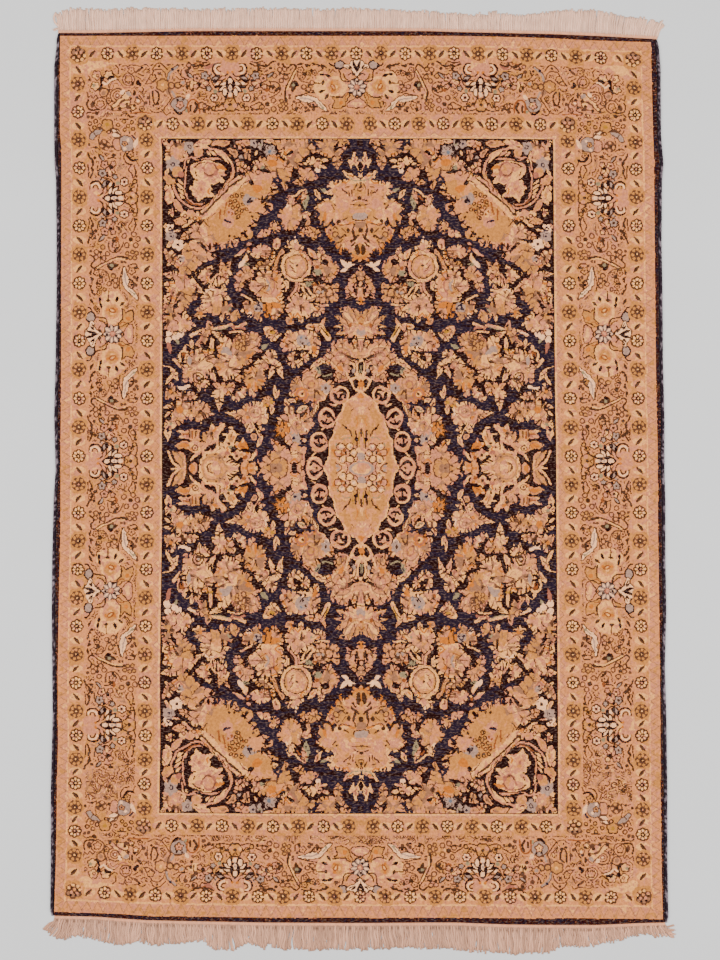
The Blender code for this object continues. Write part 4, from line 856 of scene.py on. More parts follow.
STAR = """
mass ivory/brown 90.6 334 91.8 330.2 94.8 326.8 96 321.8 98.4 321.8 100.2 327.8 104.4 331 107.4 334 104.4
337 100.4 340.4 98.6 346.2 96 346.2 94.4 341.4 91.8 337.8; leaf dark 3 91.8 330.8 102.4 333.6; leaf dark 2.4
96.8 334.2 103.6 334.1; leaf dark 3 91.8 337.6 102.4 334.6; leaf dark 2 99.4 329.8 95.4 325.6 99.4 338.4
95.4 342.6; line brown 1 97.4 323.4 99.2 328, 97.6 344.8 99.4 340; dot umber 1 104.6 330.4; mass pink/brown
128.6 334 131.2 329 134.4 325.4 137.4 325.8 138.2 331 138.2 337 137.2 342.2 134.6 342.8 131.4 339.2; oval
cream 134.4 333.4 2 5.4; bloom dark 118 334 9.8 9 .12 20; leaf grey 3.8 126.8 337.2 120.2 334.8 122.6 342
119.2 336 116.4 343.2 117.6 336.4 110.9 339.9 116.2 335.5 108.8 334 115.6 334 110.9 328.1 116.2 332.5 116.4
324.8 117.6 331.6 122.6 326 119.2 332 126.8 330.8 120.2 333.2; leaf ivory 1.7 126.4 337 121 335 122.4 341.6
119.6 336.8 116.4 342.7 117.4 337.2 111.2 339.6 115.6 336 109.4 334 114.8 334 111.2 328.4 115.6 332 116.4
325.3 117.4 330.8 122.4 326.4 119.6 331.2 126.4 331 121 333; dot rose 2.8 117.8 334; dot pink 1.8 117.6
333.8; dot dark 1.3 112.4 334.4 121.8 336; line brown 1.3 102.6 329.6 107.6 333.6 102.6 338.4; line brown
1.4 126.8 331 129.2 334 126.8 337; dot brown 1.6 105 331 104.6 337.6;
"""
# Spray with a feather between palmette and star
SPRAY = """
flower umber/peach/umber 4.0 92.6 236; dot brown 1.8 95.6 231; line umber 1.3 90 229 91 233; line brown 1.4
106.6 233 103 237 101 240.4; dot sage 1.2 104 236; line umber 1.5 108.6 241.6 109 248 112 251.6 118 251.6
122 247 124 242; flower brown/peach/umber 4.5 116 245; line brown 1.3 112 246 113 240; leaf rust 3.8 117
241.6 116.4 235.6; dot brown 1.7 115.6 250.6 117.6 248; dot umber 3 124.6 236 133.8 234 138 239 136 245.4
127 245.4; dot peach 1.7 124.6 236 133.8 234 137.6 239 136 245.4 127 245.4; dot brown 2.4 131 239.6; dot
cream 1.3 131.6 243; dot umber 2.9 96.6 252 102.6 247 107.6 253.6 104 258 96 257; dot peach 1.6 96.6 252
102.6 247 107.6 253.6 104 258 96 257; line brown 1.4 100.6 262 101 256 99 251; dot brown 1.5 101 252 100.6
257; line umber 1.3 104.6 262 105.8 256; line brown 2 90.6 255 93.6 256.6 94.8 260 92 263.6 92 266.6 95
268.4 99 265.6; dot umber 1.6 91 251; line brown 4 98 267.6 104 264.6 110 261.4 116 258.6 121 257.4 127 258;
line cream 2 98 267.6 104 264.4 112 260.8 118 258.8 125 259.4; line brown 1.4 95 268 104 262.6 112 259 117
257 126 256.6; line umber 1.4 98 269.4 104 270 107.6 273.4 109.8 280; dot brown 3.6 111 266.6; leaf brown
4.4 111 267 119.4 264; leaf umber 4 112 265 113.8 260.8; dot dark 2.2 111.6 268.8; dot sage 1.7 112 265.4;
dot umber 1.4 122 262 125 262; flower brown/peach/umber 3.9 96.8 273; flower umber/peach/umber 3.5 104
274.6; dot brown 2.2 101 276.8; flower brown/peach/umber 3.4 100 281; flower brown/peach/brown 3.3 99.6
286.4; flower brown/peach/brown 3.5 100 293; dot umber 2.3 105 289.4; dot peach 1 105 289.4; dot brown 1.6
97.4 283.4; dot umber 2.9 113.6 275.6 116 280.4 116 286 109.8 283.8; dot peach 1.6 113.4 276 115.8 280.6
115.6 285.6 109.4 284; dot brown 1.3 112 280.6 117.6 278.4; line brown 2 91.6 270 91 276 92.2 282 91 288
93.4 294; dot brown 1.4 90.6 273 92.8 279 90.6 285 92.6 291 95 294.4; dot peach 1 91.4 276 91.6 284; mass
ivory/umber 124.2 267 123 274 122.8 282 125.4 288.6 131 293.6 138.2 299.4 134.8 292 130.6 287.4 129.2 281
126.8 273; line grey 1.6 125 272 125.6 280 127.6 286; line sage 1.2 129.6 290 134 294; line brown 1.4 120.4
291 119.4 284 121 276 123 267; bloom brown 131.6 285 4.1 5 .3; bloom peach 131.6 285 2.9 5 .36; line brown 2
129 279 133 282 133.4 289; dot umber 1.8 134.4 277.4 137 280 136 285; dot dark 1.3 138 277.6 131.6 285; line
umber 1.4 138 299 138.6 293; dot sage 1.4 134.6 294; dot umber 2.5 127.6 253.4 132.6 252 136.6 253 130.4
257.6 135 257.8; dot gold 1.3 127.6 253.4 132.6 252 136.6 253 130.4 257.6 135 257.8; flower
brown/peach/umber 4.4 132 271; line brown 1.4 130.6 264 136 264 138.4 268.6; dot brown 1.7 136 267.8; dot
umber 1.5 128.6 266;
"""
# Corner of the main border
CORNER = """
mass cream 86 62 86 74 100 68 118 64; bloom umber 97 75.6 5.6 5 .25; bloom cream 97 75.6 4.4 5 .3; bloom
brown 109 75.6 5.6 5 .25; bloom cream 109 75.6 4.4 5 .3; bloom brown 95.6 86.4 5.4 5 .25; bloom cream 95.6
86.4 4.2 5 .3; dot umber 1.9 97.6 76; dot peach 1 97.6 76; dot sage 1.6 109.6 77.6 94 85.6; dot dark 2.4
102.2 79; leaf dark 4.4 107.6 79.4 115.6 77.2; line dark 3.2 101.6 80 102 85 99.4 90; line brown 1.5 116 66
118.8 69 118.6 73.6; line umber 1.4 122.6 66.6 126.4 66 128 69.6; dot gold 2.4 117 76; line brown 1.3 113
73.6 118 77.6 121 76; ring umber 128.8 79.8 6 1.4; dot pink 5.2 128.8 79.8; bloom brown 128.8 79.8 4.6 5 .3;
bloom peach 128.8 79.8 3.4 5 .36; dot pink 2.4 129.6 80; dot brown .9 126 82.4 129.8 82.4; line rose 1.4 121
84 124.6 88 130 87.6; flower umber/peach/umber 4.3 131.6 71; line umber 1.4 128 67 131 65.2 136 65.6 140
66.6; leaf umber 2.8 135.6 73.4 143.6 67; dot dark 1.3 142 68.2; line brown 1.2 141 66.6 146 64.6 148.4
66.8; line umber 1.4 138.6 74 143.6 75.8; line brown 1.2 136 76 141 79; line umber 1.5 109.6 92 109 86 112
81 118.4 80.4; line brown 3.8 111.4 88.6 113 83.6 117.4 82.4 120.4 85; line pink 2.6 111.4 88.6 113 83.6
117.4 82.4 120.4 85; line umber 1.3 104 80.4 108 83.4 110.6 79; line ivory 2.2 103.4 82.8 107 84.6 110.8 81
115.4 79.4; line brown 1.4 112 90.6 118 89 123 92; ring umber 117.6 96 7.2 1.4; dot peach 6.2 117.6 96; ring
brown 117.6 96 4.3 1.1; dot pink 3 117.6 96; ring umber 117.6 96 1.9 .9; dot ivory .8 118 95.6; leaf ivory
4.4 121 94.4 125 90.2; ring umber 100.6 104 6.2 1.4; flower brown/peach/brown 4.4 100.6 104.4; dot peach 1.6
100.6 103.4; ring umber 104 93 4.2 1.4; dot tan 2.2 103.6 93.4; line brown 1.4 97 90.4 103 88 108.6 90.6;
line umber 1.5 87 92.6 88 97.4 91 95.6 93.4 98.4 96 95.6 98 98.8; line brown 1.9 88.4 100 87 105 89 109.4 94
110.4 99 109.4; leaf umber 4.4 92 108.6 93 100.4; dot brown 1.5 93.8 103.6; line brown 1.4 86.6 114.4 89
112.4 94 113.4 99.6 112; dot brown 2 97 113.6; dot umber 1.8 88 117 92 117.6; line umber 1.3 107.6 93 106.6
99 108 104.4 112.4 106.6; flower brown/peach/umber 3.3 109.4 101; mass cream/umber 125 93.6 129.4 91.4 131.4
94.4 127.6 98.6 122.6 100 118.6 104.6 113.6 108.6 112.6 106.6 117.4 101.6 121.6 98, 121.6 103.4 127 100.6
130.6 102 128 106.4 122.6 108 119.6 106.6; bloom brown 133.6 107.6 3.6 5 .3; bloom cream 133.6 107.6 2.4 5
.36; oval dark 138 82.8 2 2.8, 140 85.2 1.7 1.7; oval brown 134.6 93.4 1.5 3.2; oval dark 137.2 98.6 1.7
2.2; oval brown 133 84 1.4 2; line brown 1.4 139 95.4 142.4 100 144.4 105 141 109; flower umber/peach/umber
3.8 138.2 101.8; dot ivory 1.3 138.2 101.4; dot brown 1.4 131 99 134.6 105.6; leaf grey 4 126.6 92.4 131.8
96.4; dot brown 1.7 112.6 108.8 120 108.8 127 104.4; dot umber 2.4 128.2 107.4; line umber 1.3 107.6 109.4
114 110.8 121 110.8; dot umber 1.4 131 111.4 136 113.4 141 111.6; line rust 1.4 131 113.4 140 112.6 151
113.6; flower brown/peach/umber 3.2 142 109; bloom brown 107.4 125.6 7 5 .18; bloom gold 107.4 125.6 5.6 5
.2; dot ochre 2 107.4 125; dot brown 2.5 90 124 94.6 128 95.6 121.4 99.8 126; dot peach 1.3 90 124 94.6 128
95.6 121.4 99.8 126; dot brown 2.3 118 125.4 124 121.4 128 126 124.6 130 131.6 122.4 133.4 129; dot gold 1.2
118 125.4 124 121.4 128 126 124.6 130 131.6 122.4 133.4 129; line brown 1.4 120 119 128 119.4; line umber
1.4 89 128 92 132.4 97 128.8 103 128.6; mass grey/umber 89.4 138.4 92.6 133 97 130.8 102.4 130 100 133.4
95.6 136 92.6 140; line brown 1 94 133.6 96.4 137; leaf ivory/umber 4.6 120.6 135.6 111.6 129.6; leaf
ivory/umber 4 112 134.6 120 136.4; line umber 1.3 112 128.6 117 131.4 122 136.4; dot gold 3.2 105 134; dot
brown 2.3 108.8 132; dot peach 1 108.8 132; dot umber 5.6 104 145; dot peach 1.5 104 141.6 107.6 144.6 104.8
148.8 100.4 146.2; dot brown 1.3 103.4 145; line brown 1.3 99 136 98 142 99 149; dot brown 1.6 111 147; line
umber 1.3 90 148.6 94 147.6 98.6 150; dot brown 1.4 88 145 94.6 148; mass pink/umber 112.6 141 118 139 120.6
144 118.6 150 113.6 149; mass grey/umber 121 137.4 127 136.2 131.6 139.6 132 146.6 128.6 150 122 150.6 120
144; dot ivory 1.6 127.6 140 123.6 148.6; flower umber/peach/umber 3.4 124 143.6; dot navy .9 124 144; line
navy 2.2 131.8 135.6 134.8 139.6 134.8 144; leaf ivory 4.4 132.6 148 137.6 138; dot brown 1.2 131 150; line
dark 2.6 125.6 154 127.4 158 131 160.6 135.4 159.4; line brown 1.5 124 152.6 122.4 158 125 163 131 164.8;
flower brown/peach/umber 3.8 129.4 154.6; line umber 1.4 135 161 137.4 166; line brown 1.4 153 70.4 156 65.6
160 63.8 164 66 167.6 70; line umber 1.4 155.4 70.4 161 69.8 165.2 73.6 166.2 78; dot brown 1.3 159.8 67;
line brown 1.3 145.6 84 149 79.6 154.4 70.6; line umber 1.3 145.6 84 152.6 83 157 79; bloom brown 153 78 4.2
5 .3; bloom peach 153 78 3.0 5 .36; dot gold 1.6 153 78; bloom umber 163 85.6 7.2 6 .15; bloom gold 163 85.6
5.8 6 .17; dot cream 1.7 163 85.2; dot umber 3.8 172 86 178 85.6; dot gold 2.2 172 86 178 85.6; dot brown 1
174.6 86.6; dot tan 3 169 92; line brown 2.2 153 91.6 153.4 100 156 104.6 159.2 100 158.8 94 156 91; line
brown 1.3 149.6 93 149.6 105; dot brown 1.4 153.6 106 158.4 104; dot umber 1.8 148.6 98 146 103; line umber
1.3 150 110 156 113 162 112; line brown 1.4 162 110 166 114.6 171 113; line umber 3.6 168.4 80 169.4 74.6
172.6 70.6 178 66.4; line grey 2.4 168.6 79.6 169.6 74.8 172.8 71 177.4 67.2; dot navy 1.6 172.4 69.8; dot
brown 1.4 178.8 70.8; line brown 1.3 176 77 180 79.6 186 80; line brown 1.5 182 70 181 75; line umber 1.6
169 89.6 170 94 172.4 98; line grey 2.4 172.8 92 174.8 96.4 175.8 102; line brown 1.4 172 98.6 168 104.4
163.6 110.4; mass grey/umber 172.4 101.6 178 98 184.6 98.6 187.6 103 184 110.6 177 111 172.6 107; flower
brown/pink/umber 4.8 180 105; dot dark 1.2 177.6 100 183.2 99.6; line dark 2.8 174.4 110.4 178 113.8 181.4
113.8; dot sage 1.8 186.8 111.4; line umber 1.3 176 97 181 96.6 184 99; leaf ivory 4 186 99 190 94; bloom
brown 183 83 4.4 5 .3; bloom peach 183 83 3.2 5 .36; dot grey 1.7 183 83; line brown 1.5 186.4 70 187.4
76.6; dot umber 2.2 187.2 71.4; line brown 1.3 179 73 183 78 188.6 80; dot umber 2.6 189 84.4; dot peach 1.4
189 84.4; line rust 1.9 188.6 112.6 187.6 105 191 100.2 195.8 100.6 199 106 199.6 113.4; line brown 3.2
195.2 103 197 108 194.6 112; line brown 2.8 190.8 106 190.8 111; line peach 2 192.8 104 193.2 110.4; dot
umber 2.2 194.6 76.4 197 79.4; mass cream 190 81.6 198.4 82 200.4 88.4 192 88.6; dot brown 1.8 192.6 90.8;
bloom umber 202 86 3.8 5 .3; bloom peach 202 86 2.6 5 .36; dot umber 2.6 188.8 66; dot pink 1.4 188.8 66;
dot umber 3.3 196 66.8 203.8 66.4; dot pink 1.9 196 67 203.6 66.8; line rust 1.4 194 63.6 200 63.4 206 66
213 64.4; leaf rose 4.4 204.6 69.4 214.6 64.2; dot umber 2.4 204.6 106; dot pink 1.3 204.6 106; dot umber 2
204 111.6 209 108;
"""
# Guards: two rosettes, the corner rosette and the slanting bar
ROSETTE_A = """
bloom brown 0 0 7 8 .1; leaf cream 2.5 5.7 0 2 0 4 4 1.4 1.4 0 5.7 0 2 -4 4 -1.4 1.4 -5.7 0 -2 0 -4 -4 -1.4
-1.4 0 -5.7 0 -2 4 -4 1.4 -1.4; dot ivory .7 4.1 0 2.9 2.9 0 4.1 -2.9 2.9 -4.1 0 -2.9 -2.9 0 -4.1 2.9 -2.9;
dot dark 2.2 0 0; dot cream .9 0 0;
"""
ROSETTE_B = """
mass gold -6.8 -7.4 6.8 -7.4 6.8 7.4 -6.8 7.4; bloom umber 0 0 7.2 7 .1; dot gold 1.5 4.5 .4 2.6 3.9 -1.6
4.5 -4.7 1.2 -3.7 -2.9 -.6 -4.8 3.1 -3.5; dot dark 1.8 0 0; dot cream .9 -.2 0;
"""
CORNER_ROSETTE = """
mass gold -8 -7 8 -7 8 8 -8 8; bloom umber -.6 -.6 8.4 6 .2; bloom brown -.6 -.6 6 6 .2; dot tan 1.9 -5 -3
-1 -5 3.4 -4.4; dot dark 1.2 -3 -4.6 1.4 -5 5.4 -1.4; dot pink 1.5 -2.4 -2 2.4 -2.4; dot cream 1.6 -5 2.6
-1.4 5.4 3 4.4 5.6 1; dot umber 2.4 0 1; dot peach 1.4 0 1.2;
"""
SLASH = """
leaf cream 8 -6.6 0 6.6 0 6.6 0 -6.6 0; leaf brown 3.3 -3.2 3.8 2.8 -3.8; line umber 1.2 -1.4 2.4 2.6 -2.2;
"""


# Laying the chart out

# Nested bands of the rug, outermost first: half width, upper edge, lower edge, ground yarn
BANDS = (
    (301.0, -435.5, 456.0, "dark"),
    (297.0, -430.0, 450.5, "peach"),
    (286.0, -419.0, 437.0, "peach"),
    (271.0, -404.5, 422.0, "peach"),
    (218.5, -349.5, 366.5, "peach"),
    (204.0, -335.5, 352.5, "peach"),
    (197.4, -328.9, 348.2, "cream"),
    (196.2, -327.7, 347.2, "dark"),
    (195.4, -327.0, 346.5, "dark"),
)
RIM, GUARD, FIELD = BANDS[0], BANDS[1], BANDS[-1]
STRIPES = (BANDS[1:3], BANDS[5:7])       # plain stripes outside and inside the border, with a zigzag
BORDER = BANDS[3:5]

# The zigzag of a stripe, as shares of the stripe's depth
ZIGZAG_PERIOD = 10.2     # squares
ZIGZAG_FROM, ZIGZAG_SWING, ZIGZAG_HALF_WIDTH = 0.12, 0.76, 0.05
TRIANGLE_FROM = 0.3
PALE_LINE_FROM = 0.87

# Main border. Palmettes, stars and sprays of the long sides: column, then rows, and flips of the sprays
SIDE_COLUMN = 245.4
SIDE_PALMETTES = (-268.5, -5.5, 258.5)
SIDE_STARS = (-132.5, 124.5)
SIDE_SPRAYS = ((-200.5, 1), (-66, -1), (60.5, 1), (191, -1))
# The same of both ends: row, flip, how far palmettes and sprays lie from the middle one, its column
END_MOTIFS = ((-379.9, 1, 125.6, 62.3, -1.5), (401.5, -1, 121.4, 61, -0.8))
BORDER_CORNERS = ((270.9, -404.5, 1), (270.9, 424.0, -1))
# Middles of the motifs in their own squares
PALMETTE_AT, SPRAY_AT, CORNER_AT = (113, 198), (113, 266), (86, 62)
STAR_AT, END_STAR_AT = (118, 334), (117, 334)

# Guards: rosettes one pitch apart along the ends, and on rows that drift along the sides
END_GUARDS = ((-412.5, -1.5, 1), (429.5, -0.8, -1))
END_PITCH, END_ROSETTES, LAST_BAR = 24.75, 10, 264
ROSETTE_COUNT = 30
ROSETTE_ROWS = ((0, 4, 14, 23, 29, 30), (-410.5, -298.5, -10.5, 244.5, 391.5, 425.5))
SIDE_GUARDS = ((278.8, 1, 29), (211, 3, 27))     # column, first and last rosette
OUTER_CORNERS = ((278, -411, 1), (278, 428, -1))
INNER_COLUMN, INNER_ENDS = 211, ((-342.5, 1), (359.5, -1))
INNER_FIRST, INNER_PITCH, INNER_COUNT = 12.0, 24.6, 8

# The field's quarter: its first and last column and row, in chart squares
QUARTER = (156, 368, 135, 479)
QUARTER_WIDE = 198
QUARTER_FOOT = 466.5     # row of the quarter's chart that lies on the rug's middle
AXIS = ((220, 330, 385), (358, 359.6, 361.5))    # the quarter's long axis leans: rows, then columns
TURN = 1.8               # squares below the rug's middle where the design turns over
# The weaver beat the lower half unevenly: squares below the turn, and those above it that they repeat
BELOW = (0, 70, 141, 345)
ABOVE = (0, 73, 133, 328.5)
MIRROR_DRIFT = 0.9       # squares by which the four quarters differ from true mirror images
DRIFT_CELL = 12          # knots across one step of that drift

# Parts of the quarter that are worked apart, as ovals: middle column and row, half width and height
MEDALLION_OVAL = (361, 466.5, 31, 73)
CORNER_PIECE = (246, 212, 40, 44)
# Leaf edges without teeth: the medallion's wreath, the ribbon, a rose and the cartouche
CLEAN_EDGES = ((361, 466.5, 57, 92), (198, 180, 38, 40), (295, 265.6, 17, 15), (212, 469, 50, 46))
# Motifs without outlines inside: the palmettes on the long axis
PLAIN_PETALS = ((358, 214, 46, 50), (361, 320, 27, 20))

LIGHT_YARNS = ("tan", "gold", "peach", "pink", "cream")      # from dull to pale
GROUNDS = [NUMBER[name] for name in ("navy", "dark", "maroon")]
PETAL = 8.0              # knots across one petal or leaf tip of a motif
PETAL_REACH = 14         # knots that petals run in from a motif's edge
STREAK = 5               # streaks of brown in the blue ground are this much wider than high
TOOTH_WIDE, TOOTH_TAPER = 2.5, 0.42      # a notch between teeth at the edge, and what it loses a knot
RIM_DEEP, HEART_FROM = 2, 6              # depth of a motif's paler rim, and where its heart begins
# Strength and width in knots of the drifts between dye lots, and yarns that they reach over
DYE_LOTS = ((0.55, 3.0), (0.65, 9.0), (0.3, 30.0))
LOT_STEP = 1.15
# Flecks of the rim: from how much wear on each yarn shows
RIM_FLECKS = ((0.0, "maroon"), (0.5, "brown"), (0.85, "umber"), (1.0, "rose"))
RIM_BLUE = -0.3


def shaded_triangles(chart, outer, inner):
    """Fill the stripe between two band edges with soft triangles and a thin zigzag."""
    x, y = np.broadcast_arrays(chart.x, chart.y)
    gap_side = outer[0] - np.abs(x)
    gap_end = np.where(y < 0, y - outer[1], outer[2] - y)
    end = gap_end < gap_side
    gap = np.where(end, gap_end, gap_side)
    deep = np.where(end, np.where(y < 0, inner[1] - outer[1], outer[2] - inner[2]),
                    outer[0] - inner[0])
    along = np.where(end, x, y)
    share = gap / deep
    tooth = np.abs(2 * ((along / ZIGZAG_PERIOD) % 1) - 1)
    stripe = (share >= 0) & (share < 1)
    yarn = chart.yarn
    yarn[stripe] = NUMBER["peach"]
    yarn[stripe & (share > TRIANGLE_FROM + ZIGZAG_SWING * tooth)] = NUMBER["pink"]
    off_zigzag = np.abs(share - ZIGZAG_FROM - ZIGZAG_SWING * tooth)
    yarn[stripe & (off_zigzag < ZIGZAG_HALF_WIDTH)] = NUMBER["tan"]
    yarn[stripe & (share > PALE_LINE_FROM)] = NUMBER["cream"]


def drift_light_yarns(chart, seed):
    """Let the light yarns run into each other, as neighbouring dye lots do."""
    rng = np.random.default_rng(seed)
    drift = sum(strength * cloudy(*chart.yarn.shape, cell, rng) for strength, cell in DYE_LOTS)
    lights = np.array([NUMBER[name] for name in LIGHT_YARNS[1:]])
    last = len(lights) - 1
    step = np.round(drift * LOT_STEP).astype(int)
    out = chart.yarn.copy()
    for rank, number in enumerate(lights):
        here = chart.yarn == number
        turn = step if rank < last else -np.abs(step)
        out[here] = lights[np.clip(rank + turn[here], 0, last)]
    chart.yarn[:] = out


def in_band(chart, band):
    """Knots within a band's outer edge."""
    wide, top, bottom, _ = band
    down = (chart.down > top) & (chart.down < bottom)
    return down[:, None] & (np.abs(chart.across) < wide)[None, :]


def lay_main_border(chart):
    """Palmettes, stars, sprays and corners round the main border."""
    corners, sprays, blooms = [], [], []
    for fx in (1, -1):
        u = -SIDE_COLUMN * fx
        blooms += [(PALMETTE_HALF, PALMETTE, (u, d, *PALMETTE_AT, fx, 1)) for d in SIDE_PALMETTES]
        blooms += [(STAR_HALF, STAR, (u, d, *STAR_AT, fx, 1)) for d in SIDE_STARS]
        sprays += [(u, d, *SPRAY_AT, fx, fy) for d, fy in SIDE_SPRAYS]
        corners += [(-u0 * fx, d, *CORNER_AT, fx, fy) for u0, d, fy in BORDER_CORNERS]
    for d, fy, reach, spray, middle in END_MOTIFS:
        blooms.append((STAR_HALF, STAR, (middle, d, *END_STAR_AT, 1, fy, True)))
        for fx in (1, -1):
            place = (middle - fx * reach, d, *PALMETTE_AT, fx, fy, True)
            blooms.append((PALMETTE_HALF, PALMETTE, place))
            sprays.append((middle - fx * spray, d, *SPRAY_AT, fx, fy, True))
    draw(chart, CORNER, corners)
    draw(chart, SPRAY, sprays)
    for half, whole, place in blooms:
        flip = list(place)
        flip[4 if len(place) > 6 else 5] *= -1
        draw(chart, half, [place, tuple(flip)])
        draw(chart, whole, [place])


def lay_guards(chart):
    """Rosettes and slanting bars in turn along the outer and the inner guard."""
    def rosette(odd, u, d, fx, fy):
        draw(chart, ROSETTE_B if odd else ROSETTE_A, [(u, d, 0, 0, fx, fy)])

    def bar(odd, u, d):
        draw(chart, SLASH, [(u, d, 0, 0, 1 if odd else -1, 1)])

    n = END_ROSETTES
    for d, middle, fy in END_GUARDS:
        for k in range(-n, n + 1):
            rosette(k % 2, middle + END_PITCH * k, d, 1, fy)
        for k in range(-n - 1, n + 1):
            inside_row = -n - 1 < k < n
            bar(k % 2, middle + END_PITCH * (k + 0.5) if inside_row else math.copysign(LAST_BAR, k), d)
    rows = np.interp(np.arange(ROSETTE_COUNT + 1), *ROSETTE_ROWS)
    for fx in (1, -1):
        for i in range(ROSETTE_COUNT):
            for column, first, last in SIDE_GUARDS:
                u = -column * fx
                if first <= i <= last:
                    rosette(i % 2, u, rows[i], fx, 1)
                if first - 1 <= i <= last and (first == 1 or first <= i < last):
                    bar(i % 2, u, (rows[i] + rows[i + 1]) / 2)
        draw(chart, CORNER_ROSETTE, [(-u * fx, d, 0, 0, fx, fy) for u, d, fy in OUTER_CORNERS])
        for d, fy in INNER_ENDS:
            draw(chart, CORNER_ROSETTE, [(-INNER_COLUMN * fx, d, 0, 0, fx, fy)])
            for j in range(INNER_COUNT):
                u = -(INNER_FIRST + INNER_PITCH * j) * fx
                rosette(j % 2 == 0, u, d, fx, fy)
                bar(j % 2, u - INNER_PITCH / 2 * fx, d)


def beside(area, first):
    """Knots next to an area, in the four directions; past the chart's edge lies a copy of the edge
    where first is None, or else that value."""
    pad = np.pad(area, 1, mode="edge") if first is None else np.pad(area, 1, constant_values=first)
    return pad[:-2, 1:-1], pad[2:, 1:-1], pad[1:-1, :-2], pad[1:-1, 2:]


def petal_cells(area, size, reach, rng):
    """Petals about size knots wide that run inward from an area's edge.

    Gives how far each knot is from the side of its petal, and a random number for each petal."""
    high, wide = area.shape
    r, c = np.nonzero(~area & np.any(beside(area, None), axis=0))
    order = rng.permutation(len(r))
    r, c = r[order], c[order]
    cell = (r / size).astype(int) * wide + (c / size).astype(int)
    first = np.unique(cell, return_index=True)[1]
    tip_r, tip_c = r[first], c[first]
    petal = np.full(area.shape, -1)
    petal[tip_r, tip_c] = np.arange(len(first))
    rows, columns = np.indices(area.shape)

    def far_from(owner):
        far = np.hypot(rows - tip_r[owner], columns - tip_c[owner])
        return np.where(owner < 0, high, far)

    near = far_from(petal)
    around = [(i, j) for i in (-1, 0, 1) for j in (-1, 0, 1) if i or j]
    for shift in around * reach:
        other = np.roll(petal, shift, (0, 1))
        far = far_from(other)
        closer = far < near
        petal, near = np.where(closer, other, petal), np.where(closer, far, near)
    second = np.full(area.shape, float(high))
    for i, j in around:
        other = np.roll(petal, (2 * i, 2 * j), (0, 1))
        second = np.where(other == petal, second, np.minimum(second, far_from(other)))
    return second - near, rng.random(len(first))[petal]


def depth_inside(area, most):
    """How many knots each knot of an area lies in from the area's edge, up to most."""
    depth = area.astype(np.int8)
    for _ in range(most - 1):
        area = area & np.all(beside(area, True), axis=0)
        depth += area
    return depth


def spread(area, room, times):
    """Grow an area knot by knot into the room beside it."""
    for _ in range(times):
        area = area | (room & np.any(beside(area, False), axis=0))
    return area


def in_ovals(chart, *ovals):
    """Knots that lie within any of some ovals."""
    x, y = np.broadcast_arrays(chart.x, chart.y)
    return np.any([((x - u) / wide) ** 2 + ((y - d) / high) ** 2 < 1 for u, d, wide, high in ovals], axis=0)


def work_motifs(chart, seed):
    """Toothed leaf edges with a paler rim, and petals with broken outlines inside the motifs."""
    rng = np.random.default_rng(seed)
    shape = chart.yarn.shape
    navy, dark = NUMBER["navy"], NUMBER["dark"]
    blue_ground = spread(chart.yarn == navy, chart.yarn == dark, 9)
    streaks = cloudy(shape[0] * STREAK, shape[1], 8, rng)[::STREAK] + 0.5 * cloudy(*shape, 12, rng)
    chart.yarn[blue_ground] = np.where(streaks > 0.12, dark, navy)[blue_ground]
    area = ~np.isin(chart.yarn, GROUNDS)
    depth = depth_inside(area, 2 * HEART_FROM)
    thick = spread(depth >= HEART_FROM, area, HEART_FROM + 1)
    gap, petal = petal_cells(area, PETAL, PETAL_REACH, rng)
    teeth = 0.8 * cloudy(*shape, 6, rng)
    clean = in_ovals(chart, *CLEAN_EDGES)
    notch = (thick & area & (gap < TOOTH_WIDE - TOOTH_TAPER * depth + teeth) & (depth < HEART_FROM)
             & ~clean)
    ground = chart.yarn.copy()
    for shift in ((1, 0), (-1, 0), (0, 1), (0, -1)) * 4:
        moved = np.roll(ground, shift, (0, 1))
        fill = ~np.isin(ground, GROUNDS) & np.isin(moved, GROUNDS)
        ground[fill] = moved[fill]
    out = chart.yarn.copy()
    lights = np.array([NUMBER[name] for name in LIGHT_YARNS])
    broken = cloudy(*shape, 5.0, rng)
    plain = in_ovals(chart, MEDALLION_OVAL, CORNER_PIECE)
    # One petal in five is a yarn duller and one in four a yarn paler, in the plain parts some paler ones
    for rank, number in enumerate(lights):
        here = chart.yarn == number
        turn = np.select([petal < 0.2, petal < 0.74], [-1, 0], 1)
        turn = np.where(depth <= RIM_DEEP, np.maximum(turn, 1), turn)
        turn = np.where(plain, np.minimum(turn, 1) * (petal > 0.7), turn)
        out[here] = lights[np.clip(rank + turn[here], 0, len(lights) - 1)]
    inner = np.isin(chart.yarn, lights) & (depth > RIM_DEEP) & ~plain
    out[inner & (petal > 0.94) & (depth < HEART_FROM)] = NUMBER["orange"]
    out[inner & (petal < 0.05) & (depth < HEART_FROM)] = NUMBER["rose"]
    out[inner & (depth == HEART_FROM + 1) & (broken > 0.1)] = NUMBER["tan"]
    lined = inner & ~clean & ~in_ovals(chart, *PLAIN_PETALS)
    out[lined & (gap < 1.0) & (broken > -0.25)] = NUMBER["tan"]
    out[lined & (gap < 1.0) & (broken > 0.2)] = NUMBER["umber"]
    out[lined & (gap < 1.2) & (broken > 0.5) & thick] = NUMBER["brown"]
    out[notch] = ground[notch]
    chart.yarn[:] = out


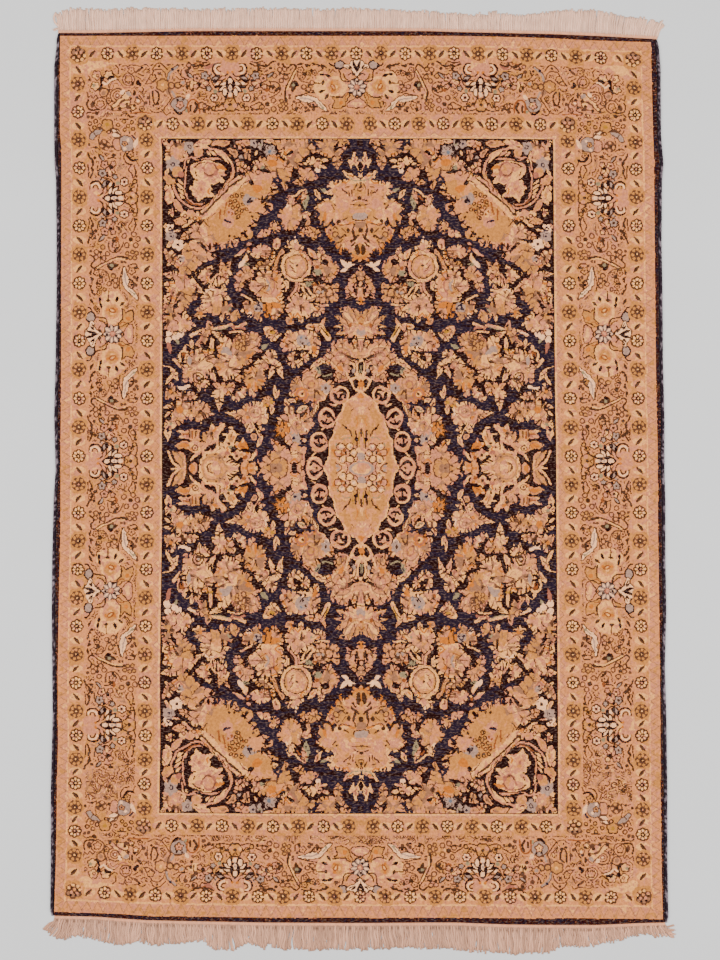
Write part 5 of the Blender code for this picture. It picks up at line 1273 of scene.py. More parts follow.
def lay_field(chart, seed):
    """The field's quarter, painted once and turned over into the four quarters."""
    quarter = Chart(*QUARTER, "dark", seed=7)
    for table in FIELD_TABLES:
        draw(quarter, table, [(0, 0, 0, 0, 1, 1)])
    work_motifs(quarter, seed=17)
    rng = np.random.default_rng(seed)
    drift_u, drift_d = (MIRROR_DRIFT * cloudy(*chart.yarn.shape, DRIFT_CELL, rng) for _ in range(2))
    down = chart.down[:, None] + drift_d
    row = QUARTER_FOOT + np.where(down < TURN, down, TURN - np.interp(down - TURN, BELOW, ABOVE))
    axis = np.interp(row, *AXIS)
    column = axis - np.abs(chart.across[None, :] + drift_u) * QUARTER_WIDE / FIELD[0]
    r = np.clip(np.searchsorted(quarter.down, row), 0, len(quarter.down) - 1)
    c = np.clip(np.searchsorted(quarter.across, column), 0, len(quarter.across) - 1)
    here = in_band(chart, FIELD)
    chart.yarn[here] = quarter.yarn[r, c][here]


def fill_border(chart, seed):
    """Fine brown curls in the room that the border's motifs leave."""
    rng = np.random.default_rng(seed)
    shape = chart.yarn.shape
    border = in_band(chart, BORDER[0]) & ~in_band(chart, BORDER[1])
    room = depth_inside((chart.yarn == NUMBER["peach"]) & border, 5) > 3
    curls = 2.1 * cloudy(*shape, 6.5, rng) + 0.5 * cloudy(*shape, 3.0, rng)
    steep = np.hypot(*np.gradient(curls))
    # The curls are closer drawn in the four corners
    corner = (np.abs(chart.across) > 160)[None, :] & (np.abs(chart.down - 9) > 330)[:, None]
    broken = cloudy(*shape, 9.0, rng) + 0.4 + 0.25 * corner
    stroke = room & (np.abs((curls % 1) - 0.5) / (steep + 0.02) < 0.75)
    out = chart.yarn.copy()
    out[room & (curls % 1 > 0.72)] = NUMBER["pink"]
    out[room & (curls % 1 < 0.22)] = NUMBER["gold"]
    for least, yarn in ((-0.1, "tan"), (0.15, "umber"), (0.5, "brown")):
        out[stroke & (broken > least)] = NUMBER[yarn]
    chart.yarn[:] = out


def fleck_rim(chart, seed):
    """Worn flecks in the dark rim, where brown and blue yarns were mixed."""
    rng = np.random.default_rng(seed)
    rim = ~in_band(chart, GUARD)
    fleck = cloudy(*chart.yarn.shape, 1.5, rng) + 0.4 * cloudy(*chart.yarn.shape, 14, rng)
    for least, yarn in RIM_FLECKS:
        chart.yarn[rim & (fleck > least)] = NUMBER[yarn]
    chart.yarn[rim & (fleck < RIM_BLUE)] = NUMBER["navy"]


def weave_chart():
    """The whole rug's chart."""
    chart = Chart(-RIM[0], RIM[0], RIM[1], RIM[2], "dark", seed=11)
    for band in BANDS[1:]:
        chart.yarn[in_band(chart, band)] = NUMBER[band[3]]
    fleck_rim(chart, seed=31)
    for stripe in STRIPES:
        shaded_triangles(chart, *stripe)
    lay_main_border(chart)
    fill_border(chart, seed=23)
    lay_guards(chart)
    lay_field(chart, seed=21)
    drift_light_yarns(chart, seed=5)
    return chart


# From the chart to the rug, in millimetres

DOWN_SHIFT = 26.7        # the chart's middle row lies this far above the rug's own middle
FIELD_LEAN = 4.7         # the field's axis lies this far to the right of the rug's
SLOPE_FROM = 260.0       # squares from the middle where the ends' slope begins
WAVE = 0.22              # the rug's surface is never quite flat
SWELLS = ((97, 160), (-210, 71))         # its two swells, across and along
CORD_ROOM = CORD_WIDTH + PIECE_GAP       # from a side cord's outer edge to the cloth


def lay_out(u, d):
    """Places on the rug of points of the chart: across, along and height."""
    y = DOWN_SHIFT - SQUARE * d
    left, right = read_line(GUARD_SIDES, "left", y), read_line(GUARD_SIDES, "right", y)
    flat_u = np.clip(u / GUARD[0], -1, 1)
    x = (left + right) / 2 + (right - left) / 2 * flat_u
    x = x + FIELD_LEAN * np.clip(1 - np.abs(u) / FIELD[0], 0, 1)

    side_rim = np.clip((np.abs(u) - GUARD[0]) / (RIM[0] - GUARD[0]), 0, 1)
    to_edge = np.where(u < 0, read_line(SIDES, "left", y) + CORD_ROOM - left,
                       read_line(SIDES, "right", y) - CORD_ROOM - right)
    x = x + to_edge * side_rim

    limit = np.where(d < 0, -GUARD[1], GUARD[2])
    guard_end = np.where(d < 0, read_line(GUARD_ENDS, "top", x), read_line(GUARD_ENDS, "bottom", x))
    cloth_end = np.where(d < 0, read_line(ENDS, "top", x), read_line(ENDS, "bottom", x))
    straight_end = DOWN_SHIFT + np.where(d < 0, 1, -1) * SQUARE * limit
    slope = np.clip((np.abs(d) - SLOPE_FROM) / (limit - SLOPE_FROM), 0, 1)
    rim_deep = np.where(d < 0, GUARD[1] - RIM[1], RIM[2] - GUARD[2])
    end_rim = np.clip((np.abs(d) - limit) / rim_deep, 0, 1)
    y = np.where(end_rim > 0, guard_end + (cloth_end - guard_end) * end_rim,
                 y + (guard_end - straight_end) * slope)

    z = PILE_TOP + WAVE * sum(np.sin(x / across + y / along) for across, along in SWELLS) / 2
    z = z - (PILE_TOP - RIM_TOP) * np.maximum(side_rim, end_rim) ** 2
    return x, y, z


def placed(x, y, z):
    """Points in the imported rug's frame, in metres."""
    return np.stack([x * MM + SHIFT.x, y * MM + SHIFT.y, z * MM], axis=-1)


def add_piece(name, points, faces, colours, material, uv=None):
    """One finished piece, riding on the rug's body: a mesh with the colour of its yarn at every point,
    or at every corner of its faces.
    """
    mesh = bpy.data.meshes.new(name)
    mesh.from_pydata(points, [], faces)
    mesh.update()
    attribute = mesh.color_attributes.new("yarn", "FLOAT_COLOR", "CORNER")
    corner_vertex = np.empty(len(mesh.loops), np.int32)
    mesh.loops.foreach_get("vertex_index", corner_vertex)
    if len(colours) == len(points):
        colours = colours[corner_vertex]
    rgba = np.ones((len(mesh.loops), 4), np.float32)
    rgba[:, :3] = colours
    attribute.data.foreach_set("color", rgba.ravel())
    if uv is not None:
        layer = mesh.uv_layers.new(name="OFBake")
        layer.data.foreach_set("uv", uv[corner_vertex].astype(np.float32).ravel())
    mesh.shade_smooth()
    mesh.materials.append(material)
    piece = bpy.data.objects.new(name, mesh)
    bpy.context.scene.collection.objects.link(piece)
    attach(piece, "root")
    return piece


# Pile

def join_tiles(yarn):
    """Join knots of one yarn that lie together: first column, first row, columns, rows, yarn."""
    rows, cols = yarn.shape
    fresh = np.ones((rows, cols), bool)
    fresh[:, 1:] = yarn[:, 1:] != yarn[:, :-1]
    fresh[:, ::TILE_RUN] = True
    row, col = np.nonzero(fresh)
    wide = np.diff(np.append(row * cols + col, rows * cols))
    keys = list(zip(col.tolist(), wide.tolist(), yarn[row, col].tolist()))
    starts = np.searchsorted(row, np.arange(rows + 1)).tolist()
    tiles, above = [], {}
    for r in range(rows):
        here = {}
        for key in keys[starts[r]:starts[r + 1]]:
            tile = above.get(key)
            if tile is None or tile[3] >= TILE_RUN:
                tile = [key[0], r, key[1], 0, key[2]]
                tiles.append(tile)
            tile[3] += 1
            here[key] = tile
        above = here
    return np.array(tiles)


def edge_lines(middles):
    """Lines between knots, from the places of the knots' middles."""
    return np.append(middles - STEP / 2, middles[-1] + STEP / 2)


def add_pile(name, chart, span_u, span_d, material):
    """One panel of pile, cut from the chart between two columns and two rows."""
    c0, c1 = np.searchsorted(chart.across, span_u)
    r0, r1 = np.searchsorted(chart.down, span_d)
    tiles = join_tiles(chart.yarn[r0:r1, c0:c1])
    lines_u, lines_d = edge_lines(chart.across[c0:c1]), edge_lines(chart.down[r0:r1])
    col, row, wide, deep, yarn = tiles.T
    n = len(lines_u)
    head, foot = row * n + col, (row + deep) * n + col
    used, faces = np.unique(np.stack([foot, foot + wide, head + wide, head], axis=1), return_inverse=True)
    u, d = lines_u[used % n], lines_d[used // n]
    points = placed(*lay_out(u, d))
    colours = np.repeat(PALETTE[yarn], 4, axis=0)
    uv = np.stack([(u - lines_u[0]) / np.ptp(lines_u), (lines_d[-1] - d) / np.ptp(lines_d)], axis=1)
    return add_piece(name, points, faces.reshape(-1, 4), colours, material, uv)


# Foundation

OUTLINE_ALONG, OUTLINE_ACROSS = np.arange(-880, 881, 20.0), np.arange(-600, 601, 20.0)
CLOTH_MIDDLE = (0.0, 3.0)
FOUNDATION_DYE = "#290f0b"
# The slab's rim from its underside to its top, where the pile covers it: inset and height
RIM_STEPS = ((1.0, 0.15), (0.15, 0.6), (0.0, 1.4), (0.0, RIM_TOP - 0.7), (0.5, RIM_TOP - 0.1),
             (6.0, RIM_TOP - 0.1))


def cloth_outline():
    """Once round the cloth against the clock from the bottom left, in millimetres."""
    left_foot = (SIDES["left"][0] + CORD_ROOM, ENDS["bottom"][0])
    right_foot = (SIDES["right"][0] - CORD_ROOM, ENDS["bottom"][-1])
    right_head = (SIDES["right"][-1] - CORD_ROOM, ENDS["top"][-1])
    left_head = (SIDES["left"][-1] + CORD_ROOM, ENDS["top"][0])
    along, across = OUTLINE_ALONG, OUTLINE_ACROSS
    bottom = np.stack([across, read_line(ENDS, "bottom", across)], axis=1)
    right = np.stack([read_line(SIDES, "right", along) - CORD_ROOM, along], axis=1)
    top = np.stack([across, read_line(ENDS, "top", across)], axis=1)[::-1]
    left = np.stack([read_line(SIDES, "left", along) + CORD_ROOM, along], axis=1)[::-1]
    return np.vstack([[left_foot], bottom, [right_foot], right, [right_head], top, [left_head], left])


def bands_between(rings, count):
    """Faces that join each ring of points to the next one and close the first and the last ring."""
    faces = [(k + i, k + (i + 1) % count, k + count + (i + 1) % count, k + count + i)
             for k in range(0, (rings - 1) * count, count) for i in range(count)]
    return [*faces, tuple(range(count - 1, -1, -1)), tuple(range((rings - 1) * count, rings * count))]


def add_foundation(material):
    """Warps and wefts that carry the pile: a slab with a softly rounded rim."""
    outline = cloth_outline()
    inward = np.array(CLOTH_MIDDLE) - outline
    inward /= np.abs(inward).max(axis=1)[:, None]
    points = np.vstack([placed(*(outline + inward * inset).T, np.full(len(outline), z))
                        for inset, z in RIM_STEPS])
    faces = bands_between(len(RIM_STEPS), len(outline))
    colours = np.tile(linear(FOUNDATION_DYE), (len(points), 1))
    return add_piece("rug_foundation", points, faces, colours, material)


# Side cords

WRAP = 3.6               # one turn of the overcast yarn
WRAP_LEAN = 2.2          # how far a turn leans along the cord on its way across
GROOVE = 0.86            # width of the cord between two turns, as a share of that on a turn
TAPER = 12               # millimetres over which the cord grows thinner at its ends
ARCH_STEPS, ARCH_FROM, ARCH_SHARE = 8, 0.06, 0.88    # the part of a half round that the yarn spans
FOOT_HALF = 0.36         # half the flat underside, as a share of the width
CORD_SEEDS = {"left": 31, "right": 32}
CORD_DYE, CORD_WORN = "#21121d", "#8b7b82"
WEAR_SPOTS = ((1.2, 2.2), (0.6, 14))     # worn spots, small and large: strength, and size in ridges
OUTER_WEAR, WEAR_FROM, WEAR_POWER, GROOVE_WEAR = 0.9, 0.35, 1.3, 0.6


def add_cord(name, side, material):
    """Overcast cord along one side, each turn of its yarn a low ridge that leans a little."""
    inward = 1 if side == "left" else -1
    rng = np.random.default_rng(CORD_SEEDS[side])
    corner = 0 if side == "left" else -1
    foot, head = ENDS["bottom"][corner], ENDS["top"][corner]
    turns = int((head - foot) / WRAP)
    along = np.linspace(foot, head, 2 * turns + 1)
    on_turn = np.arange(len(along)) % 2
    ridge = np.where(on_turn, 1.0, GROOVE) * rng.uniform(0.96, 1.03, len(along))
    near_end = np.clip(np.minimum(along - foot, head - along) / TAPER, 0, 1)
    size = CORD_END_SHARE + (1 - CORD_END_SHARE) * near_end
    arch = np.pi * (ARCH_FROM + ARCH_SHARE * np.arange(ARCH_STEPS + 1) / ARCH_STEPS)
    section_x = np.concatenate([[FOOT_HALF], 0.5 * np.cos(arch), [-FOOT_HALF]])
    section_z = np.concatenate([[0.0], np.sin(arch), [0.0]])
    inner = read_line(SIDES, side, along) + inward * CORD_WIDTH
    width, height = CORD_WIDTH * size, CORD_HEIGHT * size * (0.9 + 0.1 * ridge)
    middle = inner - inward * width / 2
    x = middle[:, None] + section_x[None, :] * (width * ridge)[:, None]
    z = section_z[None, :] * height[:, None]
    y = along[:, None] + inward * section_x[None, :] * WRAP_LEAN
    points = placed(x, y, z).reshape(-1, 3)
    faces = [face[::-1] for face in bands_between(len(along), len(section_x))]

    outer = -inward * section_x[None, :] + 0.5
    flecks = sum(strength * cloudy(*x.shape, size, rng) for strength, size in WEAR_SPOTS)
    worn = np.clip(flecks + OUTER_WEAR * outer - WEAR_FROM, 0, 1) ** WEAR_POWER
    worn *= np.where(on_turn, 1.0, GROOVE_WEAR)[:, None]
    dark, pale = np.array(linear(CORD_DYE)), np.array(linear(CORD_WORN))
    colours = (dark + (pale - dark) * worn[..., None]).reshape(-1, 3)
    return add_piece(name, points, faces, colours, material)


# Fringes

WEB_STEP = 3.0
WEB_SEED = 41
WEB_DYE = "#f4a87e"
# Section of the web from its inner foot, as shares of width and thickness, and how light each point is:
# painted shade darkens the inner side, next to the rug's edge
WEB_SECTION = ((0.0, 0.05), (1.0, 0.05), (1.04, 0.5), (0.97, 0.92), (0.5, 1.0), (0.03, 0.95), (0.0, 0.5))
WEB_PAINTED_SHADE = (1.0, 1.0, 1.0, 1.0, 1.0, 0.9, 0.8)

STRANDS_AN_END = 330
STRAND_SIDES = 5
STRAND_STEPS = 9
STRAND_SEEDS = {"top": 51, "bottom": 52}
HALF_THICK, THINS = 0.62, 0.3            # half a strand's thickness, and the share that it loses to its tip
UNDER_WEB = 1.2          # the strands begin this far inside the web's outer edge
# Two layers of strands: pitch as a share of their spacing, height, half width as a share of the spacing
LAYERS = ((1.0, 0.55, 0.68), (1.25, 1.25, 0.5))
ROOT_JITTER = 0.25       # share of the pitch
# What neighbouring strands have in common: how much, and within which distance
REACH_DRIFTS = ((2.6, 5.0), (2.0, 17.0))
LEAN_RUN, PHASE_DRIFT, PHASE_RUN = 14.0, 4.0, 24.0
OWN_REACH, OWN_LEAN, OWN_PHASE = (-3.4, 1.6), 0.7, 1.5   # what each strand adds of its own
BUNDLE = 6.6             # the bottom web's warps leave it in bundles of this pitch
BUNDLE_HALF = 0.34       # of that pitch, outside which the strands' roots are in shadow
LOCK_STRANDS, LOCK_HALF_WIDTH, LOCK_SPREAD = 6, 0.85, 0.9
FRINGE_REACH = 660       # half the width that the fringes never pass

# How each end's strands look: yarn, darkest and lightest strand, how far they wave and drift. The darkest
# strands are partly the yarn's own tone and partly painted shade between the strands
STRAND_LOOKS = {"top": ("#ffcaab", 0.8, 1.03, 0.6, 1.4), "bottom": ("#dca384", 0.66, 1.12, 1.5, 4.2)}

# Stray locks at the corners, each from its root to its tip
LOCKS = {
    "top": (((-617, 930), (-627, 941), (-629.5, 952), (-625, 962)),
            ((-618, 928), (-624, 927.5), (-630, 924)), ((616, 925), (621, 929), (627, 934.5))),
    "bottom": (((-634, -911), (-641, -918), (-650, -928)), ((634, -920), (640, -918), (647, -916)),
               ((636, -925), (642, -927), (649, -927)), ((636, -931), (643, -936), (649, -935)),
               ((634, -933), (641, -941), (647, -942))),
}


def add_web(name, end, material):
    """Narrow plain-woven strip that the warps leave before they hang free."""
    outward = 1 if end == "top" else -1
    table = TOP_FRINGE if end == "top" else BOTTOM_FRINGE
    rng = np.random.default_rng(WEB_SEED)
    x = np.arange(table["across"][0], table["across"][-1] + 1, WEB_STEP)
    inner = read_line(ENDS, end, x) + outward * PIECE_GAP
    ragged = rng.uniform(-0.5, 0.5, len(x))
    points = [placed(x, inner + outward * share * (WEB_WIDTH + (ragged if share > 0.9 else 0)),
                     np.full(len(x), WEB_THICK * rise)) for share, rise in WEB_SECTION]
    points = np.stack(points, axis=1).reshape(-1, 3)
    faces = bands_between(len(x), len(WEB_SECTION))
    if end == "bottom":
        faces = [face[::-1] for face in faces]
    # The yarn's random tone, times the painted shade on the web's inner side
    tone = rng.uniform(0.82, 1.05, (len(x), 1, 1)) * np.array(WEB_PAINTED_SHADE)[None, :, None]
    colours = (np.array(linear(WEB_DYE)) * tone).reshape(-1, 3)
    return add_piece(name, points, faces, colours, material)


def shared(rng, reach, x):
    """Random values from -1 to 1 that neighbours within a reach have in common."""
    places = np.arange(-FRINGE_REACH, FRINGE_REACH + 1, reach)
    return np.interp(x, places, rng.uniform(-1, 1, len(places)))


def lay_strands(end, table, rng):
    """Paths of the loose warp ends, with their half widths and their shades from root to tip."""
    outward = 1 if end == "top" else -1
    _, dark, light, wave, drift = STRAND_LOOKS[end]
    low_x, high_x = table["across"][0], table["across"][-1]
    spacing = (high_x - low_x) / STRANDS_AN_END
    share = np.linspace(0, 1, STRAND_STEPS)
    strands = []
    for pitch, lift, wide in LAYERS:
        gap = spacing * pitch
        roots = np.arange(low_x + gap / 2, high_x, gap)
        roots = roots + rng.uniform(-ROOT_JITTER, ROOT_JITTER, len(roots)) * gap
        reaches = read_line(table, "reach", roots)
        for size, run in REACH_DRIFTS:
            reaches = reaches + size * shared(rng, run, roots)
        leans = read_line(table, "lean", roots) + drift * shared(rng, LEAN_RUN, roots)
        phases = PHASE_DRIFT * shared(rng, PHASE_RUN, roots)
        starts = read_line(ENDS, end, roots) + outward * (WEB_WIDTH - UNDER_WEB)
        for root, reach, lean, phase, start in zip(roots, reaches, leans, phases, starts):
            reach = reach + rng.uniform(*OWN_REACH)
            lean = lean + rng.normal(0, OWN_LEAN)
            phase = phase + rng.uniform(0, OWN_PHASE)
            sway = wave * rng.uniform(0.5, 1.4) * np.minimum(1, 3 * share)
            x = root + lean * share ** 1.4 + sway * np.sin(phase + 8 * share)
            y = start + outward * (reach + UNDER_WEB) * share
            half = spacing * wide * (1 - 0.2 * share ** 3) * rng.uniform(0.85, 1.15)
            shade = rng.uniform(dark, light) * (0.96 + 0.06 * np.sin(phase * 2 + 9 * share))
            # Painted shade: each strand's root is darker where it comes out from under the web
            shade = shade * np.where(share < 0.1, 0.85, 1)
            # Painted shadow: between two bundles of the bottom web the strands' roots are darkened, like the
            # dark gaps there
            if end == "bottom" and abs(root / BUNDLE % 1 - 0.5) > BUNDLE_HALF:
                shade = shade * np.where((share > 0.1) & (share < 0.2), 0.42, 1)
            strands.append((x, y, lift, half, shade))
    for lock in LOCKS[end]:
        xs, ys = np.array(lock, float).T
        along = np.linspace(0, 1, len(xs))
        for k in range(LOCK_STRANDS):
            aside = rng.normal(0, LOCK_SPREAD, 2)
            x = np.interp(share, along, xs) + aside[0] + 0.4 * np.sin(5 * share + k)
            y = np.interp(share * rng.uniform(0.85, 1), along, ys) + aside[1]
            shade = np.full(STRAND_STEPS, rng.uniform(dark, light))
            strands.append((x, y, 0.5 + 0.25 * k, np.full(STRAND_STEPS, LOCK_HALF_WIDTH), shade))
    return strands


def add_fringe(name, end, table, material):
    """Loose warp ends, each a flattened spun strand that lies on the floor or on its neighbours."""
    rng = np.random.default_rng(STRAND_SEEDS[end])
    turn = 2 * np.pi * np.arange(STRAND_SIDES) / STRAND_SIDES
    share = np.linspace(0, 1, STRAND_STEPS)
    yarn = np.array(linear(STRAND_LOOKS[end][0]))
    points, colours, faces = [], [], []
    for x, y, lift, half, shade in lay_strands(end, table, rng):
        run_x, run_y = np.gradient(x), np.gradient(y)
        run = np.hypot(run_x, run_y)
        thin = 1 - THINS * share
        thick = HALF_THICK * thin
        # No strand sinks into the floor
        z = np.maximum(lift * thin + 0.12, thick + 0.03)
        ring_x = x[:, None] + (half * run_y / run)[:, None] * np.cos(turn)
        ring_y = y[:, None] - (half * run_x / run)[:, None] * np.cos(turn)
        ring_z = z[:, None] + thick[:, None] * np.sin(turn)
        base = len(points) * STRAND_STEPS * STRAND_SIDES
        points.append(placed(ring_x, ring_y, ring_z).reshape(-1, 3))
        colours.append(np.repeat(yarn[None] * shade[:, None], STRAND_SIDES, axis=0))
        for k in range(base, base + (STRAND_STEPS - 1) * STRAND_SIDES, STRAND_SIDES):
            for i in range(STRAND_SIDES):
                j = (i + 1) % STRAND_SIDES
                faces.append((k + i, k + STRAND_SIDES + i, k + STRAND_SIDES + j, k + j))
        last = base + (STRAND_STEPS - 1) * STRAND_SIDES
        faces.append(tuple(base + i for i in range(STRAND_SIDES)))
        faces.append(tuple(last + i for i in reversed(range(STRAND_SIDES))))
    return add_piece(name, np.vstack(points), faces, np.vstack(colours), material)


# Materials

PALETTE = np.array([linear(code) for code in YARNS.values()])


def add_node(tree, kind, inputs=None, **settings):
    """Add a node with its settings, and fill or link its inputs."""
    node = tree.nodes.new(kind)
    for name, value in settings.items():
        setattr(node, name, value)
    for key, value in (inputs or {}).items():
        if isinstance(value, bpy.types.NodeSocket):
            tree.links.new(value, node.inputs[key])
        else:
            node.inputs[key].default_value = value
    return node


def start_material(name, **sockets):
    """New material, with the values that are the same all over set on its shader."""
    material = bpy.data.materials.new(name)
    material.use_nodes = True
    shader = material.node_tree.nodes["Principled BSDF"]
    for key, value in sockets.items():
        shader.inputs[key.replace("_", " ")].default_value = value
    return material


def noise(tree, place, scale, detail, dimensions="3D"):
    """Soft random spots."""
    return add_node(tree, "ShaderNodeTexNoise", {"Vector": place, "Scale": scale, "Detail": detail},
                    noise_dimensions=dimensions).outputs["Fac"]


def waves(tree, place, spacing, direction, **inputs):
    """Soft stripes, one every spacing millimetres."""
    return add_node(tree, "ShaderNodeTexWave", {"Vector": place, "Scale": 0.314 / (spacing * MM), **inputs},
                    bands_direction=direction).outputs["Fac"]


def stretch(tree, value, low, high, source=(0, 1)):
    """A value that goes from low to high while the source goes from its first to its second bound."""
    return add_node(tree, "ShaderNodeMapRange", {"Value": value, "From Min": source[0], "From Max": source[1],
                                                 "To Min": low, "To Max": high}).outputs["Result"]


def product(tree, one, other):
    """One value times another."""
    return add_node(tree, "ShaderNodeMath", {0: one, 1: other}, operation="MULTIPLY").outputs[0]


def place_and_yarn(tree):
    """The piece's own coordinates, and the colour of its yarn there."""
    return (add_node(tree, "ShaderNodeTexCoord").outputs["Object"],
            add_node(tree, "ShaderNodeAttribute", attribute_name="yarn").outputs["Color"])


def toned(tree, yarn, tone):
    """The yarn's colour, made lighter or darker."""
    return add_node(tree, "ShaderNodeVectorMath", {0: yarn, "Scale": tone}, operation="SCALE").outputs[0]


def finish_material(material, colour, height, strength, depth, invert=False):
    """Link the colour, and the relief of a height that is depth millimetres deep."""
    tree = material.node_tree
    shader = tree.nodes["Principled BSDF"]
    tree.links.new(colour, shader.inputs["Base Color"])
    bump = add_node(tree, "ShaderNodeBump", {"Height": height, "Strength": strength, "Distance": depth * MM},
                    invert=invert)
    tree.links.new(bump.outputs[0], shader.inputs["Normal"])
    return material


FOUNDATION_SHOWING = "#665147"


def silk_pile():
    """Cropped silk pile: each knot a soft grain of its own tone, dull from above with a faint sheen."""
    material = start_material("cropped_silk_pile", Roughness=0.75, Sheen_Weight=0.01, Sheen_Roughness=0.4,
                              IOR=1.5, Specular_IOR_Level=0.04)
    tree = material.node_tree
    place, yarn = place_and_yarn(tree)
    knots = add_node(tree, "ShaderNodeTexVoronoi",
                     {"Vector": place, "Scale": 1 / (KNOT * MM), "Randomness": 0.7}, voronoi_dimensions="2D")
    knot_tone = stretch(tree, knots.outputs["Color"], 0.84, 1.14)
    # Clusters of knots of one dye lot, three to five knots wide
    lots = noise(tree, place, 1 / (5.2 * MM), 2.0, "2D")
    lot_tone = stretch(tree, lots, 0.82, 1.16, (0.3, 0.7))
    # Faint streaks that run across along the wefts
    rows = add_node(tree, "ShaderNodeMapping", {"Vector": place, "Scale": (2.0, 28.0, 1.0)})
    streaks = noise(tree, rows.outputs["Vector"], 2.0, 3.0, "2D")
    streak_tone = stretch(tree, streaks, 0.95, 1.05, (0.3, 0.7))
    tone = product(tree, product(tree, knot_tone, lot_tone), streak_tone)
    # Where the dark yarns are worn, pale dashes of the foundation show through along the wefts
    light = add_node(tree, "ShaderNodeRGBToBW", {"Color": yarn})
    is_dark = stretch(tree, light.outputs[0], 0, 1, (0.05, 0.015))
    dashes = add_node(tree, "ShaderNodeMapping", {"Vector": place, "Scale": (0.6, 1.35, 1.0)})
    wear = noise(tree, dashes.outputs["Vector"], 1 / (4.0 * MM), 1.5, "2D")
    worn = product(tree, is_dark, stretch(tree, wear, 0, 0.6, (0.52, 0.72)))
    colour = add_node(tree, "ShaderNodeMix", {"Factor": worn, 6: toned(tree, yarn, tone),
                                              7: (*linear(FOUNDATION_SHOWING), 1)}, data_type="RGBA")
    return finish_material(material, colour.outputs[2], knots.outputs["Distance"], 0.35, 0.3, invert=True)


def warp_and_weft(name, roughness, spacing):
    """Cotton warps and wefts: a fine plain weave that the knots' backs sit in."""
    material = start_material(name, Roughness=roughness, IOR=1.47, Specular_IOR_Level=0.25)
    tree = material.node_tree
    place, yarn = place_and_yarn(tree)
    weave = product(tree, waves(tree, place, spacing, "X"), waves(tree, place, spacing, "Y"))
    return finish_material(material, toned(tree, yarn, stretch(tree, weave, 0.75, 1.1)), weave, 0.5, 0.3)


def twisted_yarn(name, roughness, twist, low_tone, high_tone):
    """Spun yarn: slanting plies and fine fibres, matt with a soft edge."""
    material = start_material(name, Roughness=roughness, Sheen_Weight=0.04, Sheen_Roughness=0.5, IOR=1.5,
                              Specular_IOR_Level=0.12)
    tree = material.node_tree
    place, yarn = place_and_yarn(tree)
    slant = add_node(tree, "ShaderNodeMapping", {"Vector": place, "Rotation": (0, 0, math.radians(28))})
    plies = waves(tree, slant.outputs["Vector"], twist, "Y", Distortion=2.0, Detail=1.0)
    mixed = product(tree, plies, noise(tree, place, 1 / (1.2 * MM), 3.0))
    tone = stretch(tree, mixed, low_tone, high_tone, (0, 0.6))
    return finish_material(material, toned(tree, yarn, tone), mixed, 0.6, 0.4)


def painted_floor():
    """Plain pale painted floor, matt."""
    material = start_material("painted_floor", Roughness=0.8)
    tree = material.node_tree
    place = add_node(tree, "ShaderNodeTexCoord").outputs["Object"]
    tone = stretch(tree, noise(tree, place, 3.0, 4.0), 0.60, 0.66)
    tree.links.new(tone, tree.nodes["Principled BSDF"].inputs["Base Color"])
    return material


# The rug

silk = silk_pile()
warp_yarn = twisted_yarn("spun_warp_ends", 0.75, 1.1, 0.82, 1.08)
chart = weave_chart()

foundation = add_foundation(warp_and_weft("woven_foundation", 0.8, 1.4))
# Panels of the pile: the columns and the rows of the chart that each one spans
BETWEEN_SIDES, WHOLE_LENGTH = (-FIELD[0], FIELD[0]), (RIM[1] - 1, RIM[2] + 1)
PANELS = {
    "pile_field_left": ((-FIELD[0], 0), FIELD[1:3]),
    "pile_field_right": ((0, FIELD[0]), FIELD[1:3]),
    "pile_border_top": (BETWEEN_SIDES, (WHOLE_LENGTH[0], FIELD[1])),
    "pile_border_bottom": (BETWEEN_SIDES, (FIELD[2], WHOLE_LENGTH[1])),
    "pile_border_left": ((-RIM[0] - 1, -FIELD[0]), WHOLE_LENGTH),
    "pile_border_right": ((FIELD[0], RIM[0] + 1), WHOLE_LENGTH),
}
pile = [add_pile(name, chart, *spans, silk) for name, spans in PANELS.items()]
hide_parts("rug_cloth")

cord_yarn = twisted_yarn("overcast_worn_yarn", 0.85, 1.2, 0.7, 1.1)
cords = [add_cord("cord_left", "left", cord_yarn), add_cord("cord_right", "right", cord_yarn)]
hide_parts("selvedge_left")
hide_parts("selvedge_right")

web_weave = warp_and_weft("plain_woven_web", 0.8, 1.6)
webs = [add_web("web_top", "top", web_weave), add_web("web_bottom", "bottom", web_weave)]
fringes = [add_fringe("warp_ends_top", "top", TOP_FRINGE, warp_yarn),
           add_fringe("warp_ends_bottom", "bottom", BOTTOM_FRINGE, warp_yarn)]
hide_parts("fringe_top")
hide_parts("fringe_bottom")

# Floor, light and camera

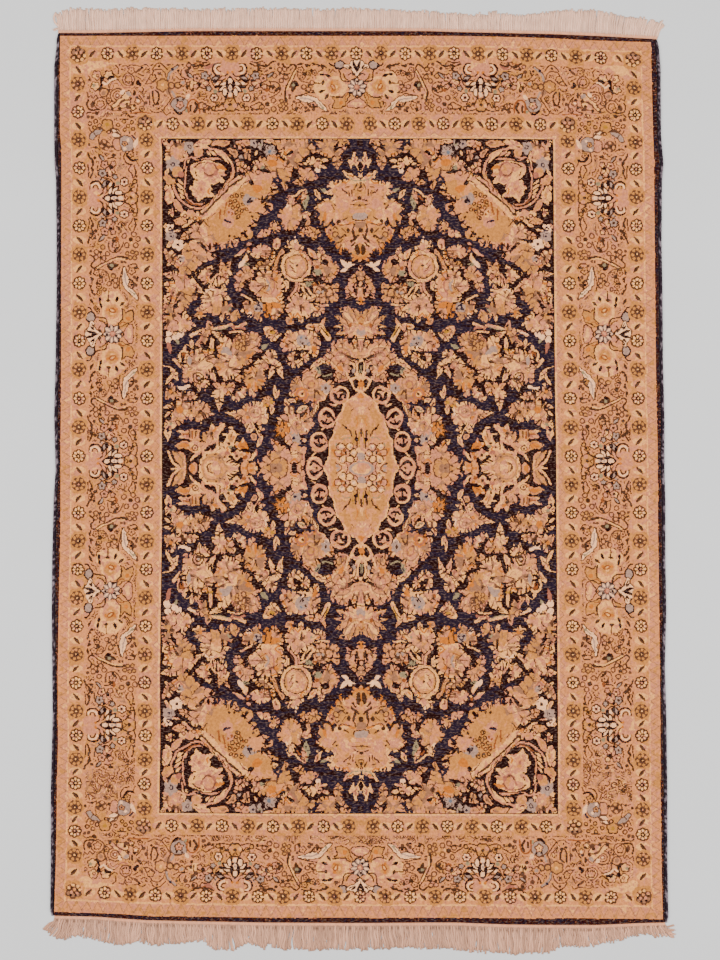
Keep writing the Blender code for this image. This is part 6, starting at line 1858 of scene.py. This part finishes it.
FLOOR_SIZE, FLOOR_DROP = 12, 0.0002
SKY_TINT, SKY_STRENGTH = (1.0, 0.985, 0.97, 1), 0.72
LAMPS = {"softbox_left": -3.0, "softbox_right": 3.0}     # how far across each one hangs, in metres
LAMP_HEIGHT, LAMP_SIZE, LAMP_POWER = 3.2, (2.4, 3.2), 200
LAMP_AIM = 0.12          # a lamp aims at this share of its own distance across
CAMERA_LENS, SENSOR, CAMERA_REACH = 85.0, 36.0, 30
PHOTO_HIGH = 960         # pixels of the photo, each one square of the rug
VIEW_MIDDLE = Vector((1.0, -1.0)) * MM + SHIFT

bpy.ops.object.select_all(action="DESELECT")
bpy.ops.mesh.primitive_plane_add(size=FLOOR_SIZE, location=(0, 0, -FLOOR_DROP))
floor = bpy.context.active_object
floor.name = "floor"
floor.data.materials.append(painted_floor())

world = bpy.data.worlds.new("studio")
bpy.context.scene.world = world
world.use_nodes = True
sky = world.node_tree.nodes["Background"]
sky.inputs["Color"].default_value = SKY_TINT
sky.inputs["Strength"].default_value = SKY_STRENGTH


def add_softbox(name, across):
    """Large soft lamp aimed at the rug."""
    lamp = bpy.data.lights.new(name, "AREA")
    lamp.shape = "RECTANGLE"
    lamp.size, lamp.size_y = LAMP_SIZE
    lamp.energy = LAMP_POWER
    holder = bpy.data.objects.new(name, lamp)
    holder.location = place = Vector((across, 0, LAMP_HEIGHT))
    aim = Vector((across * LAMP_AIM, 0, 0))
    holder.rotation_euler = (aim - place).to_track_quat("-Z", "Y").to_euler()
    bpy.context.scene.collection.objects.link(holder)


for name, across in LAMPS.items():
    add_softbox(name, across)

camera_data = bpy.data.cameras.new("camera")
camera_data.lens = CAMERA_LENS
camera_data.sensor_width = SENSOR
camera_data.clip_end = CAMERA_REACH
camera = bpy.data.objects.new("camera", camera_data)
view_long = PHOTO_HIGH * SQUARE * MM
camera.location = (*VIEW_MIDDLE, PILE_TOP * MM + view_long * CAMERA_LENS / SENSOR)
bpy.context.scene.collection.objects.link(camera)
bpy.context.scene.camera = camera
